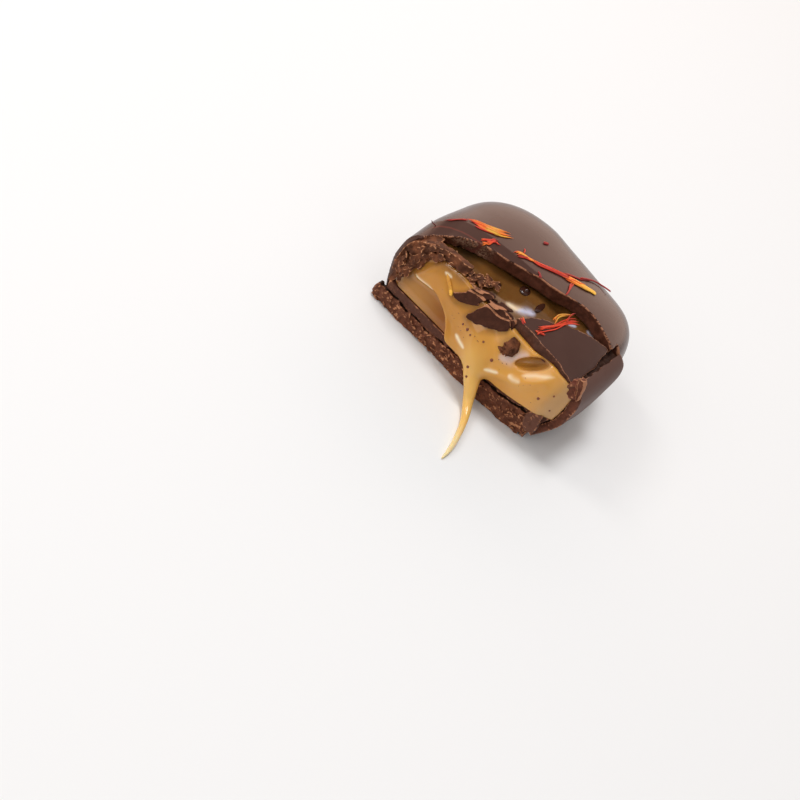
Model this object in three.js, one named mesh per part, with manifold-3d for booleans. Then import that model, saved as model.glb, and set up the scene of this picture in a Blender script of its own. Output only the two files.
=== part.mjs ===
// Half of a chocolate-coated soft caramel, cut across and standing on its base.
// Millimetres, +Z up. The origin is the middle of the resting face.
// X runs along the cut, +Y points to the uncut rear end.

import * as THREE from 'three';
import * as BufferGeometryUtils from 'three/addons/utils/BufferGeometryUtils.js';
import Module from 'manifold-3d';

const wasm = await Module();
wasm.setup();

// ---- driving dimensions ----
const HALF_WIDTH = 16.9; // outer half width at the waist
const FOOT_HALF_WIDTH = 15.2; // outer half width at the resting face
const DEPTH = 25.5; // cut to rear end
const HEIGHT = 15.6; // resting face to top
const WAIST_Z = 7.6; // level of the widest section
const CUT_Y = -12.5; // plane of the cut
const PLAN_POWER = 4.2; // squareness seen from above
const SIDE_POWER = 3.7; // squareness seen from the side
const WALL = 1.3; // shell thickness at the sides
const ROOF = 2.3; // shell thickness at the top
const GAP = 0.3; // clearance between neighbouring pieces

const PLATE_SINK = 0.4; // how far the broken top plate lies below its old place
const PLATE_THICKNESS = 2.1;
const PLATE_TAPER = -0.07; // rad, thins the plate towards its right end
const PLATE_SLOPE = 0.09; // how steeply the broken plate falls towards the cut
const PLATE_SLOPE_RUN = 12;
const BEND_SLOPE = 0.16; // the same for the front of the unbroken top
const BEND_SLOPE_RUN = 5;
const LEFT_EXTRA_SLOPE = 0.1; // the bend is steeper at the left end
const PANEL_SWING = 0.08; // rad, the broken side panel swung outwards at its rear end
const PANEL_REAR_Y = 0.3;
const PANEL_TOP_X = 14.4;
const PANEL_FOOT_Z = 1.1; // the broken panel stops this far above the resting face
const OPENING_Z = 10.9; // the top is broken away above this level
const FOOT_TUCK = 1.4; // how far the lower side walls turn in at the cut

const SLAB_HEIGHT = 2.8; // crumbly lower layer of the base
const LEDGE_HEIGHT = 4.0; // smooth upper layer of the base, at the left
const LEDGE_RISE = 0.5; // the upper layer lies this much higher right of the middle
const LEDGE_END_RISE = 1.5; // and rises further towards its right end
const SLAB_FRONT_Y = -13.9;
const LEDGE_FRONT_Y = -13.3;
const SLAB_LEFT_X = -15.9;
const SLAB_RIGHT_X = 14.2;
const SLAB_ROUGHNESS = 0.16; // how far the crumbly front strays in and out
const LEDGE_LEFT_X = -14.6;
const LEDGE_RIGHT_X = 12.4;
const CRACK_DEPTH = 1.4;
const CRUST_DEPTH = 2.6; // how far back the crumbled left front corner reaches

const POOL_Z = 12.9; // level of the bare caramel where the top is broken away
const THREAD_WIDTH = 1.1;
const THREAD_THICKNESS = 0.4;
const FAR = 60; // larger than anything here, for cutting blocks

// ---- small tools ----
let seed = 7;
function random() {
  seed = (seed * 16807) % 2147483647;
  return seed / 2147483647;
}

function jitter(amount) {
  return (random() * 2 - 1) * amount;
}

function smooth(from, to, value) {
  return THREE.MathUtils.smoothstep(value, from, to);
}

function fade(from, to, value) {
  return 1 - smooth(from, to, value);
}

function hill(x, y, centreX, centreY, radiusX, radiusY) {
  const u = (x - centreX) / radiusX;
  const v = (y - centreY) / radiusY;
  return Math.exp(-u * u - v * v);
}

function weld(geometry) {
  geometry.deleteAttribute('normal');
  geometry.deleteAttribute('uv');
  return BufferGeometryUtils.mergeVertices(geometry, 1e-4);
}

function toSolid(geometry) {
  const merged = weld(geometry);
  const mesh = new wasm.Mesh({
    numProp: 3,
    vertProperties: Float32Array.from(merged.attributes.position.array),
    triVerts: Uint32Array.from(merged.index.array),
  });
  return new wasm.Manifold(mesh);
}

function toGeometry(solid) {
  const mesh = solid.getMesh();
  const geometry = new THREE.BufferGeometry();
  geometry.setAttribute('position', new THREE.BufferAttribute(mesh.vertProperties, 3));
  geometry.setIndex(new THREE.BufferAttribute(mesh.triVerts, 1));
  geometry.computeVertexNormals();
  return geometry;
}

function largestPiece(solid) {
  const pieces = solid.decompose();
  return pieces.reduce((best, piece) => (piece.volume() > best.volume() ? piece : best));
}

function reshape(geometry, move) {
  const position = geometry.attributes.position;
  const point = new THREE.Vector3();
  for (let i = 0; i < position.count; i += 1) {
    point.fromBufferAttribute(position, i);
    move(point);
    position.setXYZ(i, point.x, point.y, point.z);
  }
  return geometry;
}

function block(minX, maxX, minY, maxY, minZ, maxZ) {
  const box = new THREE.BoxGeometry(maxX - minX, maxY - minY, maxZ - minZ);
  box.translate((minX + maxX) / 2, (minY + maxY) / 2, (minZ + maxZ) / 2);
  return toSolid(box);
}

// An outline of [x, y] points, raised from minZ to maxZ.
function prism(outline, minZ, maxZ) {
  const shape = new THREE.Shape(outline.map(([x, y]) => new THREE.Vector2(x, y)));
  const geometry = new THREE.ExtrudeGeometry(shape, { depth: maxZ - minZ, bevelEnabled: false });
  geometry.translate(0, 0, minZ);
  return toSolid(geometry);
}

// An outline of [x, z] points, run from frontY back to rearY.
function frontPrism(outline, frontY, rearY) {
  const shape = new THREE.Shape(outline.map(([x, z]) => new THREE.Vector2(x, z)));
  const geometry = new THREE.ExtrudeGeometry(shape, { depth: rearY - frontY, bevelEnabled: false });
  geometry.rotateX(Math.PI / 2);
  geometry.translate(0, rearY, 0);
  return toSolid(geometry);
}

// A broken edge through a few points: a smooth line with small seeded steps.
function brokenLine(points, steps, roughness) {
  const curve = new THREE.CatmullRomCurve3(points.map(([x, y]) => new THREE.Vector3(x, y, 0)));
  const spaced = curve.getSpacedPoints(steps);
  return spaced.map((point, i) => {
    const free = i > 0 && i < steps ? 1 : 0;
    return [point.x + free * jitter(roughness), point.y + free * jitter(roughness)];
  });
}

// The same round a closed outline.
function brokenLoop(points, steps, roughness) {
  const curve = new THREE.CatmullRomCurve3(
    points.map(([x, y]) => new THREE.Vector3(x, y, 0)),
    true,
    'catmullrom',
    0.2,
  );
  const spaced = curve.getSpacedPoints(steps).slice(0, steps);
  return spaced.map((point) => [point.x + jitter(roughness), point.y + jitter(roughness)]);
}

function grow(outline, amount) {
  const middleX = outline.reduce((sum, point) => sum + point[0], 0) / outline.length;
  const middleY = outline.reduce((sum, point) => sum + point[1], 0) / outline.length;
  return outline.map(([x, y]) => {
    const reach = Math.hypot(x - middleX, y - middleY);
    const scale = (reach + amount) / reach;
    return [middleX + (x - middleX) * scale, middleY + (y - middleY) * scale];
  });
}

// ---- the coated form ----
// 1 on the form's surface, smaller inside; inset thins the sides, topInset the top.
function gauge(x, y, z, inset, topInset) {
  const halfWidth = HALF_WIDTH - inset;
  const reach = DEPTH - inset;
  const rise = HEIGHT - topInset - WAIST_Z;
  const footShare = (FOOT_HALF_WIDTH - inset) / halfWidth;
  const drop = WAIST_Z / (1 - footShare ** SIDE_POWER) ** (1 / SIDE_POWER);
  const plan = (Math.abs(x) / halfWidth) ** PLAN_POWER
    + (Math.abs(y - CUT_Y) / reach) ** PLAN_POWER;
  const level = Math.abs(z - WAIST_Z) / (z > WAIST_Z ? rise : drop);
  return (plan ** (SIDE_POWER / PLAN_POWER) + level ** SIDE_POWER) ** (1 / SIDE_POWER);
}

// Slow unevenness of the poured coating: a swell and hollows on the rear shoulder.
function unevenness(x, y, z) {
  const swell = 0.36 * hill(x, 0, -4.6, 0, 3.2, 1);
  const hollow = -0.55 * hill(x, 0, 7.2, 0, 5, 1);
  const leftHollow = -0.5 * fade(-14, -7.5, x) * smooth(-7, 1, y);
  return smooth(4, 13, z) * (smooth(0, 12, y) * (swell + hollow) + leftHollow);
}

// The front of the top is bent down along a line across the piece.
function aheadOfBend(x, y) {
  return Math.max(0, -3.2 + 0.17 * x - 2 * fade(-16, -13, x) - y);
}

function bendDrop(x, y) {
  const slope = BEND_SLOPE + LEFT_EXTRA_SLOPE * fade(-14.5, -10, x);
  return slope * Math.min(aheadOfBend(x, y), BEND_SLOPE_RUN);
}

function plateDrop(x, y) {
  return PLATE_SLOPE * Math.min(aheadOfBend(x, y), PLATE_SLOPE_RUN);
}

// The side walls turn in towards the foot near the cut.
function footTuck(x, y, z) {
  return FOOT_TUCK * Math.sign(x) * smooth(9, 16, Math.abs(x)) * fade(1.2, 7.5, z) * fade(-12, -4, y);
}

function dome(inset, topInset, segments, drop = bendDrop) {
  const [acrossX, alongY, upZ] = segments;
  const spread = (t) => Math.sin(1.15 * t) / Math.sin(1.15);
  const box = new THREE.BoxGeometry(2, 2, 2, acrossX, alongY, upZ);
  reshape(box, (point) => {
    const x = spread(point.x) * HALF_WIDTH;
    const y = spread(point.y) * DEPTH;
    const z = spread(point.z) * (HEIGHT - WAIST_Z);
    const size = gauge(x, y + CUT_Y, z + WAIST_Z, inset, topInset);
    point.set(x / size, CUT_Y + y / size, WAIST_Z + z / size);
    const lift = 1 + unevenness(point.x, point.y, point.z) / 18;
    point.x *= lift;
    point.y = CUT_Y + (point.y - CUT_Y) * lift;
    point.z = WAIST_Z + (point.z - WAIST_Z) * lift;
    point.z -= drop(point.x, point.y) * smooth(WAIST_Z, HEIGHT - 2, point.z);
    point.x -= footTuck(point.x, point.y, point.z);
  });
  return toSolid(box);
}

const OUTER_SEGMENTS = [22, 30, 16];
const INNER_SEGMENTS = [14, 20, 10];
const behindCut = block(-FAR, FAR, CUT_Y, FAR, 0, FAR);
const formOutside = dome(0, 0, OUTER_SEGMENTS).intersect(behindCut);
const formInside = dome(WALL, ROOF, INNER_SEGMENTS);

// Broken rim of the top, from the cut at the left to the side panel at the right.
const rim = brokenLine(
  [
    [-14.9, -12.5], [-14.0, -11.1], [-13.1, -9.9], [-11.9, -8.7], [-10.1, -7.7], [-7.5, -6.5],
    [-4.8, -5.6], [-1.4, -4.2], [2.8, -2.7], [7.6, -0.6], [13.4, -1.2],
  ],
  24,
  0.18,
);

// ---- toppings: dried petal threads ----
// A flat strip with pointed ends along a curve. It lies on the height that heightAt gives.
function thread(points, width, heightAt) {
  const steps = Math.max(5, Math.round(points.length * 3));
  const curve = new THREE.CatmullRomCurve3(
    points.map(([x, y]) => new THREE.Vector3(x, y, heightAt(x, y))),
  );
  const strip = new THREE.CylinderGeometry(1, 1, 1, 5, steps);
  reshape(strip, (point) => {
    const t = THREE.MathUtils.clamp(point.y + 0.5, 0, 1);
    const centre = curve.getPoint(t);
    const along = curve.getTangent(t);
    const side = new THREE.Vector3(-along.y, along.x, 0).normalize();
    const body = 0.3 + 0.7 * Math.sin(Math.PI * (0.08 + 0.84 * t)) ** 0.6;
    const out = point.x * body * width * 0.5;
    const up = point.z * body * THREAD_THICKNESS * 0.5;
    point.copy(centre).addScaledVector(side, out);
    point.z += up + THREAD_THICKNESS * 0.2;
  });
  const solid = toSolid(strip);
  return solid.volume() > 0 ? solid : toSolid(flip(strip));
}

function flip(geometry) {
  const index = geometry.index.array;
  for (let i = 0; i < index.length; i += 3) {
    const swap = index[i];
    index[i] = index[i + 1];
    index[i + 1] = swap;
  }
  return geometry;
}

function topHeight(x, y, drop = bendDrop) {
  let low = WAIST_Z;
  let high = HEIGHT + 1;
  for (let i = 0; i < 30; i += 1) {
    const middle = (low + high) / 2;
    if (gauge(x, y, middle, 0, 0) < 1) low = middle;
    else high = middle;
  }
  return low - drop(x, y);
}

const shellThreads = [
  { points: [[-15.2, -7.5], [-14.5, -6.8], [-13.5, -5.4], [-12.8, -4.6]], width: THREAD_WIDTH * 0.4 },
  { points: [[-13.2, -4.9], [-12.0, -4.3], [-9.5, -3.2], [-7.2, -1.1]], width: THREAD_WIDTH * 1.5 },
  { points: [[-9.1, -7.1], [-8.7, -5.9], [-7.8, -4.1]], width: THREAD_WIDTH * 0.7 },
  { points: [[-5.0, -4.6], [-4.6, -3.0], [-3.1, -2.2], [-0.6, -0.7], [3.4, 2.8]], width: THREAD_WIDTH * 0.8 },
  { points: [[2.4, 2.5], [3.6, 3.9], [5.0, 6.0], [6.0, 7.8]], width: THREAD_WIDTH * 0.4 },
  { points: [[1.6, 0.6], [3.0, 1.5], [4.8, 2.7], [6.9, 4.3]], width: THREAD_WIDTH },
  { points: [[3.6, 1.2], [3.8, 0], [4.2, -2.1]], width: THREAD_WIDTH * 0.5 },
  { points: [[-3.9, 3.7], [-3.1, 4.6]], width: THREAD_WIDTH * 0.6 },
];

const plateThreads = [
  { points: [[4.8, -11.7], [5.8, -9.8], [7.0, -6.2], [8.2, -3.9]], width: THREAD_WIDTH },
  { points: [[6.0, -8.6], [5.8, -7.0], [6.9, -4.6]], width: THREAD_WIDTH * 0.6 },
];

// ---- shell ----
// Crumbled shell that thickens the left front corner of the cut.
const crustInner = brokenLine([[-14.2, 4.4], [-12.3, 8.6], [-11.1, 11.4], [-7.4, 13.0]], 10, 0.25);

function frontLeftCrust(clearance) {
  const inner = crustInner.map(([x, z]) => [x + clearance, z - clearance]);
  const outline = [...inner, [-7.0 + clearance, 13.9], [-11, 20], [-20, 20], [-20, 4.4 - clearance]];
  const run = frontPrism(outline, CUT_Y - clearance, CUT_Y + CRUST_DEPTH + clearance);
  return run.intersect(dome(0.25 - clearance, 1.1 - clearance, [16, 18, 12]));
}

// The filling bulges out of the cut beside the crust and not in front of it.
function aheadOfCrust() {
  const inner = crustInner.map(([x, z]) => [x + GAP, z - GAP]);
  return frontPrism([...inner, [-7, 13.9], [-11, 20], [-20, 20], [-20, 4.1]], -FAR, CUT_Y);
}

function buildShellBody() {
  const opening = [...rim, [14.1, -1.4], [FAR, -1.4], [FAR, -FAR], [-14.9, -FAR]];
  const panelWindow = block(PANEL_TOP_X - GAP, FAR, -FAR, PANEL_REAR_Y + GAP, -1, FAR);
  let shell = formOutside.subtract(formInside);
  shell = shell.subtract(prism(opening, OPENING_Z, FAR));
  shell = shell.subtract(panelWindow);
  shell = shell.add(frontLeftCrust(0).intersect(behindCut));
  for (const { points, width } of shellThreads) {
    shell = shell.add(thread(points, width, topHeight));
  }
  return shell;
}

function swing(solid, amount) {
  const pivotX = HALF_WIDTH - WALL;
  const turned = solid.translate([-pivotX, -CUT_Y, 0]).rotate([0, 0, THREE.MathUtils.radToDeg(-amount)]);
  return turned.translate([pivotX, CUT_Y, 0]);
}

// A loosened flap at the top of the panel's cut edge.
const flapOutline = [[14.5, 13], [14.7, 14.3], [15.1, 14.5], [15.6, 13.3], [16.1, 11.6], [15.3, 11.2]];

function buildSidePanel() {
  const window = block(PANEL_TOP_X, FAR, CUT_Y, PANEL_REAR_Y, PANEL_FOOT_Z, FAR);
  const panel = formOutside.subtract(formInside).intersect(window);
  return swing(panel.add(frontPrism(flapOutline, CUT_Y - 0.1, CUT_Y + 0.4)), PANEL_SWING);
}

// ---- broken top plate and chips ----
const plateRear = brokenLine([[2.3, -12.6], [4.1, -9.6], [8.4, -5.4], [13.6, -1.8]], 10, 0.18);
const plateOutline = [...plateRear, [13.8, -2.2], [13.8, -12.7]];

function plateUnderside(clearance) {
  const thickness = PLATE_SINK + PLATE_THICKNESS + clearance;
  const inner = dome(WALL + GAP + clearance, thickness, INNER_SEGMENTS, plateDrop);
  const taper = THREE.MathUtils.radToDeg(PLATE_TAPER);
  return inner.translate([-8, 0, -13]).rotate([0, taper, 0]).translate([8, 0, 13]);
}

function buildTopPlate() {
  const upper = dome(GAP, PLATE_SINK, [16, 22, 10], plateDrop);
  let plate = prism(plateOutline, WAIST_Z + 2, FAR).intersect(upper);
  plate = plate.subtract(plateUnderside(0));
  const surface = (x, y) => topHeight(x, y, plateDrop) - PLATE_SINK;
  for (const { points, width } of plateThreads) {
    plate = plate.add(thread(points, width, surface));
  }
  return plate;
}

const chips = [
  {
    name: 'top_chip_left',
    outline: [[-6.8, 10.2], [-5.6, 11.7], [-4.0, 13.2], [-2.0, 13.5], [-2.9, 11.7], [-4.7, 10.5]],
    frontY: -13.9,
    rearY: -11.7,
    lean: 22,
  },
  {
    name: 'top_chip_right',
    outline: [[-3.1, 9.3], [-2.5, 11.6], [-0.9, 13.1], [0.9, 13.1], [1.9, 11.7], [0.4, 10.4], [-1.8, 9.3]],
    frontY: -13.9,
    rearY: -11.6,
    lean: 20,
  },
].map((chip) => ({ ...chip, outline: brokenLoop(chip.outline, 16, 0.14) }));

function chipSolid({ outline, frontY, rearY, lean }, clearance) {
  const solid = frontPrism(grow(outline, clearance), frontY - clearance, rearY + clearance);
  const middleY = (frontY + rearY) / 2;
  return solid.translate([0, -middleY, -11.5]).rotate([-lean, 0, 0]).translate([0, middleY, 11.5]);
}

// ---- base ----
function ledgeTop(x) {
  return LEDGE_HEIGHT + LEDGE_RISE * smooth(-4, 7, x) + LEDGE_END_RISE * smooth(6, 14, x);
}

function crackLevel(x) {
  return SLAB_HEIGHT - 0.4 + 0.8 * smooth(-6, 1, x) + 0.75 * smooth(2, 11, x);
}

function crackWidth(x) {
  return 0.25 + 0.5 * smooth(2, 11, x);
}

// A bar along the cut with a rough front; topAt and frontAt shape it.
function roughBar(minX, maxX, rearY, topAt, frontAt, roughness) {
  const bar = new THREE.BoxGeometry(1, 1, 1, 30, 1, 3);
  const wobble = new Map();
  reshape(bar, (point) => {
    const x = THREE.MathUtils.lerp(minX, maxX, point.x + 0.5);
    const isFront = point.y < 0;
    const height = point.z + 0.5;
    const key = `${x.toFixed(3)} ${height.toFixed(3)}`;
    if (!wobble.has(key)) wobble.set(key, jitter(roughness));
    const y = isFront ? frontAt(x) + wobble.get(key) : rearY;
    point.set(x, y, height * topAt(x));
  });
  return toSolid(bar);
}

function baseFront(x) {
  return SLAB_FRONT_Y + 1.0 * smooth(7, SLAB_RIGHT_X, x);
}

function ledgeFront(x) {
  return Math.max(LEDGE_FRONT_Y, baseFront(x));
}

function crackSolid() {
  const upper = [];
  const lower = [];
  for (let i = 0; i <= 18; i += 1) {
    const x = THREE.MathUtils.lerp(-13, SLAB_RIGHT_X + 1, i / 18);
    const level = crackLevel(x) + jitter(0.14);
    upper.push([x, level + crackWidth(x) / 2]);
    lower.unshift([x, level - crackWidth(x) / 2]);
  }
  return frontPrism([...lower, ...upper], -FAR, LEDGE_FRONT_Y + CRACK_DEPTH);
}

function buildBase() {
  const core = dome(WALL + 1.5 * GAP, ROOF, INNER_SEGMENTS);
  const floorLevel = roughBar(-HALF_WIDTH, HALF_WIDTH, FAR, ledgeTop, () => CUT_Y, 0);
  const plug = core.intersect(floorLevel).intersect(block(-FAR, FAR, -FAR, FAR, 0, FAR));
  const lipRear = CUT_Y - GAP;
  const lip = roughBar(SLAB_LEFT_X, SLAB_RIGHT_X, lipRear, () => SLAB_HEIGHT, baseFront, SLAB_ROUGHNESS);
  const ledge = roughBar(LEDGE_LEFT_X, LEDGE_RIGHT_X, lipRear, ledgeTop, ledgeFront, 0.05);
  const bridge = roughBar(-12, 12, CUT_Y + 2, ledgeTop, () => CUT_Y - 0.5, 0);
  const base = plug.add(lip).add(ledge).add(bridge).subtract(crackSolid());
  return largestPiece(base.subtract(baseChipBlock(GAP)));
}

// The room that the filling leaves for the front of the base.
function baseRoom() {
  const slabFront = (x) => baseFront(x) - SLAB_ROUGHNESS - GAP;
  const slabTop = () => SLAB_HEIGHT + GAP;
  const slab = roughBar(SLAB_LEFT_X - GAP, SLAB_RIGHT_X + GAP, 0, slabTop, slabFront, 0);
  const shelfFront = (x) => ledgeFront(x) - GAP;
  const shelfTop = (x) => ledgeTop(x) + GAP;
  return slab.add(roughBar(LEDGE_LEFT_X - GAP, LEDGE_RIGHT_X + GAP, 0, shelfTop, shelfFront, 0));
}

const baseChipOutline = [[12.2, 4.9], [12.9, 5.9], [14.1, 6.1], [14.8, 3.4], [13.7, 2.9], [12.8, 3.4]];

function baseChipBlock(clearance) {
  return frontPrism(grow(baseChipOutline, 1.3 * clearance), -14.2 - clearance, -12.8 + clearance);
}

// ---- caramel ----
// Upper border of the deep lower left part, as [x, z].
const flowEdgeLine = [
  [-13, 7.1], [-11, 7.4], [-8.8, 7.8], [-7.6, 7.7], [-6.4, 7], [-5.3, 6.2], [-4.3, 5.3], [-3, 3.8],
];
const rightRidgeLine = [[3.4, 5.0], [5.2, 6.6], [8.6, 8.4], [10.9, 11.0]];
const columnLine = [[-6.7, 9.0], [-3.8, 8.2], [-0.5, 7.2], [1.6, 5.6]];
const pit = { x: 8.2, y: -13.9, z: 11.5, length: 2.7, depth: 1.5, height: 0.9, turn: 44 };

function levelAlong(line, x) {
  if (x <= line[0][0]) return line[0][1];
  for (let i = 1; i < line.length; i += 1) {
    const [startX, startZ] = line[i - 1];
    const [endX, endZ] = line[i];
    if (x < endX) return THREE.MathUtils.mapLinear(x, startX, endX, startZ, endZ);
  }
  return line[line.length - 1][1];
}

function distanceTo(line, x, z) {
  const point = new THREE.Vector3(x, 0, z);
  const nearest = new THREE.Vector3();
  let best = FAR;
  for (let i = 1; i < line.length; i += 1) {
    const start = new THREE.Vector3(line[i - 1][0], 0, line[i - 1][1]);
    const end = new THREE.Vector3(line[i][0], 0, line[i][1]);
    new THREE.Line3(start, end).closestPointToPoint(point, true, nearest);
    best = Math.min(best, nearest.distanceTo(point));
  }
  return best;
}

// How far the caramel stands out of the cut plane.
function bulge(x, z) {
  const flowEdge = levelAlong(flowEdgeLine, x);
  const sides = smooth(-13.6, -12, x - 0.5 * Math.max(0, z - 8)) * fade(12, 14.8, x);
  const flow = 1.5 * sides * smooth(flowEdge - 0.5, flowEdge + 1.1, z) * fade(9, 14.8, z);
  const ridge = 0.4 * Math.exp(-((distanceTo(rightRidgeLine, x, z) / 0.9) ** 2));
  const column = 0.35 * Math.exp(-((distanceTo(columnLine, x, z) / 1.5) ** 2));
  const lobe = 0.8 * hill(x, z, 9, 7.6, 6, 3);
  const root = 1.3 * hill(x, z, 1.6, 6, 3.2, 3);
  const foot = 0.85 * fade(4.5, 7.5, z) * fade(-3, 2, x);
  return 0.1 + flow + ridge + column + lobe + root + foot;
}

function pitSolid() {
  const hollow = new THREE.SphereGeometry(1, 14, 9);
  hollow.scale(pit.length, pit.depth, pit.height);
  hollow.rotateY(-THREE.MathUtils.degToRad(pit.turn));
  hollow.translate(pit.x, pit.y, pit.z);
  return toSolid(hollow);
}

function poolLevel(x, y) {
  const inPool = smooth(-16, -11, y) * fade(-1.5, 3, y);
  const wave = 0.25 * Math.sin(0.7 * x + 0.5) + 0.15 * Math.sin(1.1 * y);
  return THREE.MathUtils.lerp(HEIGHT - ROOF, POOL_Z - 0.3 + wave, inPool);
}

function caramelBlock() {
  const body = new THREE.BoxGeometry(1, 1, 1, 30, 12, 12);
  const rearY = CUT_Y + DEPTH;
  reshape(body, (point) => {
    const x = point.x * 2 * HALF_WIDTH;
    const back = point.y + 0.5;
    const height = point.z + 0.5;
    const floor = ledgeTop(x) + GAP;
    const nearFront = (1 - back) ** 3;
    const z = THREE.MathUtils.lerp(floor, HEIGHT, height);
    const front = CUT_Y - bulge(x, z) * Math.sin(Math.PI * (0.12 + 0.8 * height)) ** 0.5;
    const y = THREE.MathUtils.lerp(rearY, front, nearFront);
    const top = Math.min(z, poolLevel(x, y));
    point.set(x, y, Math.max(top, floor));
  });
  return toSolid(body);
}

// Middle line of the strand with its radius: [x, y, z, radius].
const strandKnots = [
  [-0.4, -12.9, 8.2, 2.4], [1.3, -14.1, 6.3, 1.9], [2.8, -15.2, 4.3, 1.4], [4.2, -16.2, 2.7, 1.0],
  [5.3, -17.1, 1.35, 0.82], [6.4, -18.7, 0.78, 0.66], [7.2, -20.6, 0.62, 0.54], [7.8, -22.6, 0.55, 0.46],
  [8.3, -24.6, 0.5, 0.4], [8.6, -26.5, 0.38, 0.3], [8.7, -28.1, 0.2, 0.14],
];
const strandPath = new THREE.CatmullRomCurve3(strandKnots.map(([x, y, z]) => new THREE.Vector3(x, y, z)));

function strandRadius(t) {
  const place = t * (strandKnots.length - 1);
  const before = Math.min(Math.floor(place), strandKnots.length - 2);
  return THREE.MathUtils.lerp(strandKnots[before][3], strandKnots[before + 1][3], place - before);
}

function buildStrand() {
  const strand = new THREE.CylinderGeometry(1, 1, 1, 10, 22);
  const up = new THREE.Vector3(0, 0, 1);
  reshape(strand, (point) => {
    const t = THREE.MathUtils.clamp(0.5 - point.y, 0, 1);
    const centre = strandPath.getPoint(t);
    const along = strandPath.getTangent(t);
    const side = new THREE.Vector3().crossVectors(along, up).normalize();
    const normal = new THREE.Vector3().crossVectors(side, along);
    const radius = strandRadius(t);
    const out = point.x * radius;
    const lift = point.z * radius;
    point.copy(centre).addScaledVector(side, out).addScaledVector(normal, lift);
    point.z = Math.max(point.z, 0.04);
  });
  const solid = toSolid(strand);
  return solid.volume() > 0 ? solid : toSolid(flip(strand));
}

function plateRoom() {
  return prism(grow(plateOutline, 3 * GAP), WAIST_Z + 2, FAR).subtract(plateUnderside(2 * GAP));
}

function buildCaramel(neighbours) {
  const inside = dome(WALL + GAP, ROOF + GAP, INNER_SEGMENTS);
  const ahead = block(-13.4, 14.6, -FAR, CUT_Y - GAP, 3.5, 13.4);
  let caramel = caramelBlock().intersect(inside.add(ahead));
  caramel = caramel.subtract(plateRoom()).subtract(pitSolid());
  caramel = caramel.subtract(frontLeftCrust(GAP)).subtract(aheadOfCrust()).add(buildStrand());
  for (const neighbour of neighbours) {
    caramel = caramel.subtract(neighbour);
  }
  return largestPiece(caramel);
}

// ---- assembly ----
const materials = {
  chocolate: new THREE.MeshStandardMaterial({ color: 0x4a332b, roughness: 0.38, metalness: 0 }),
  crumb: new THREE.MeshStandardMaterial({ color: 0x4f2f20, roughness: 0.85, metalness: 0 }),
  caramel: new THREE.MeshStandardMaterial({ color: 0xd29a52, roughness: 0.22, metalness: 0 }),
};

const group = new THREE.Group();

function addPart(name, solid, material) {
  const mesh = new THREE.Mesh(toGeometry(solid), material);
  mesh.name = name;
  group.add(mesh);
}

addPart('shell_body', buildShellBody(), materials.chocolate);
addPart('shell_side_panel', buildSidePanel(), materials.chocolate);
addPart('top_plate', buildTopPlate(), materials.chocolate);
for (const chip of chips) {
  addPart(chip.name, chipSolid(chip, 0), materials.chocolate);
}
addPart('base', buildBase(), materials.crumb);
addPart('base_chip', baseChipBlock(0), materials.crumb);
const chipRoom = chips.map((chip) => chipSolid(chip, 2.4 * GAP));
const caramelNeighbours = [baseRoom(), baseChipBlock(GAP), ...chipRoom];
addPart('caramel', buildCaramel(caramelNeighbours), materials.caramel);

export default group;
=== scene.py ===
import math
from functools import reduce

import bpy
import numpy as np
from mathutils import Matrix, Vector


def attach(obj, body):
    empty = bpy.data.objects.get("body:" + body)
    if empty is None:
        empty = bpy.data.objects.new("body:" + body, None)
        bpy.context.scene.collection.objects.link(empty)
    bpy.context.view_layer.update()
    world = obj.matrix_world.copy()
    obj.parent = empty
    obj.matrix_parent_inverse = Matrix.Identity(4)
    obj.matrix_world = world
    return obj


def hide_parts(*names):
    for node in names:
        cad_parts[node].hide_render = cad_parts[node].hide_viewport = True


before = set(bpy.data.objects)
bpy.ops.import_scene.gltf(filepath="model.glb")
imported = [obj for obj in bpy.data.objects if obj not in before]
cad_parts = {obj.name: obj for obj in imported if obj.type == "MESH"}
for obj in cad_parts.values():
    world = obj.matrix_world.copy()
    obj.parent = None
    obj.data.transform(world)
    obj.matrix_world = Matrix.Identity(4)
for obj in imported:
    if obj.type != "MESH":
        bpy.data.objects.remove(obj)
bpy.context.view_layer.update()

# Half of a chocolate-coated soft caramel, cut across. Shapes are worked out in
# millimetres as distance fields on grids of points and written as meshes in metres.

MM = 0.001

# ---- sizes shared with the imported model, in millimetres ----
HALF_WIDTH = 16.9
FOOT_HALF_WIDTH = 15.2
DEPTH = 25.5
HEIGHT = 15.6
WAIST_Z = 7.6
CUT_Y = -12.5
PLAN_POWER = 4.2
SIDE_POWER = 3.7
WALL = 1.3
ROOF = 2.3
PLATE_INSET = 0.3
PLATE_SINK = 0.4
PLATE_THICKNESS = 2.1
PLATE_TAPER = 0.07
PANEL_SWING = 0.08
PANEL_REAR_Y = 0.3
PANEL_TOP_X = 14.4
FOOT_TUCK = 1.4
SLAB_HEIGHT = 2.8
LEDGE_HEIGHT = 4.0
LEDGE_RISE = 0.5
LEDGE_END_RISE = 1.5
SLAB_FRONT_Y = -13.9
LEDGE_FRONT_Y = -13.7
SLAB_LEFT_X = -15.9
SLAB_RIGHT_X = 14.2
POOL_Z = 12.9

# ---- places and limits of this scene's own, in millimetres ----
POOL_EDGE_Z = 11.5  # above it the caramel's surface belongs to the pool
PANEL_BREAK_Z = 12.7
FLAKE_Y = -12.75
TILE_Y = -12.95
CHIP_FRONT_Y = -13.9
CHIP_MIDDLE_Z = 11.5
FORM_SPAN = 9.0  # a step of 1 in form_level is about this many millimetres
COAT_REACH = 0.11  # surface points nearer than this to the coated form are put onto it
SETTLE_STEP = 0.08
THREAD_SIDES = 8

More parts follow.
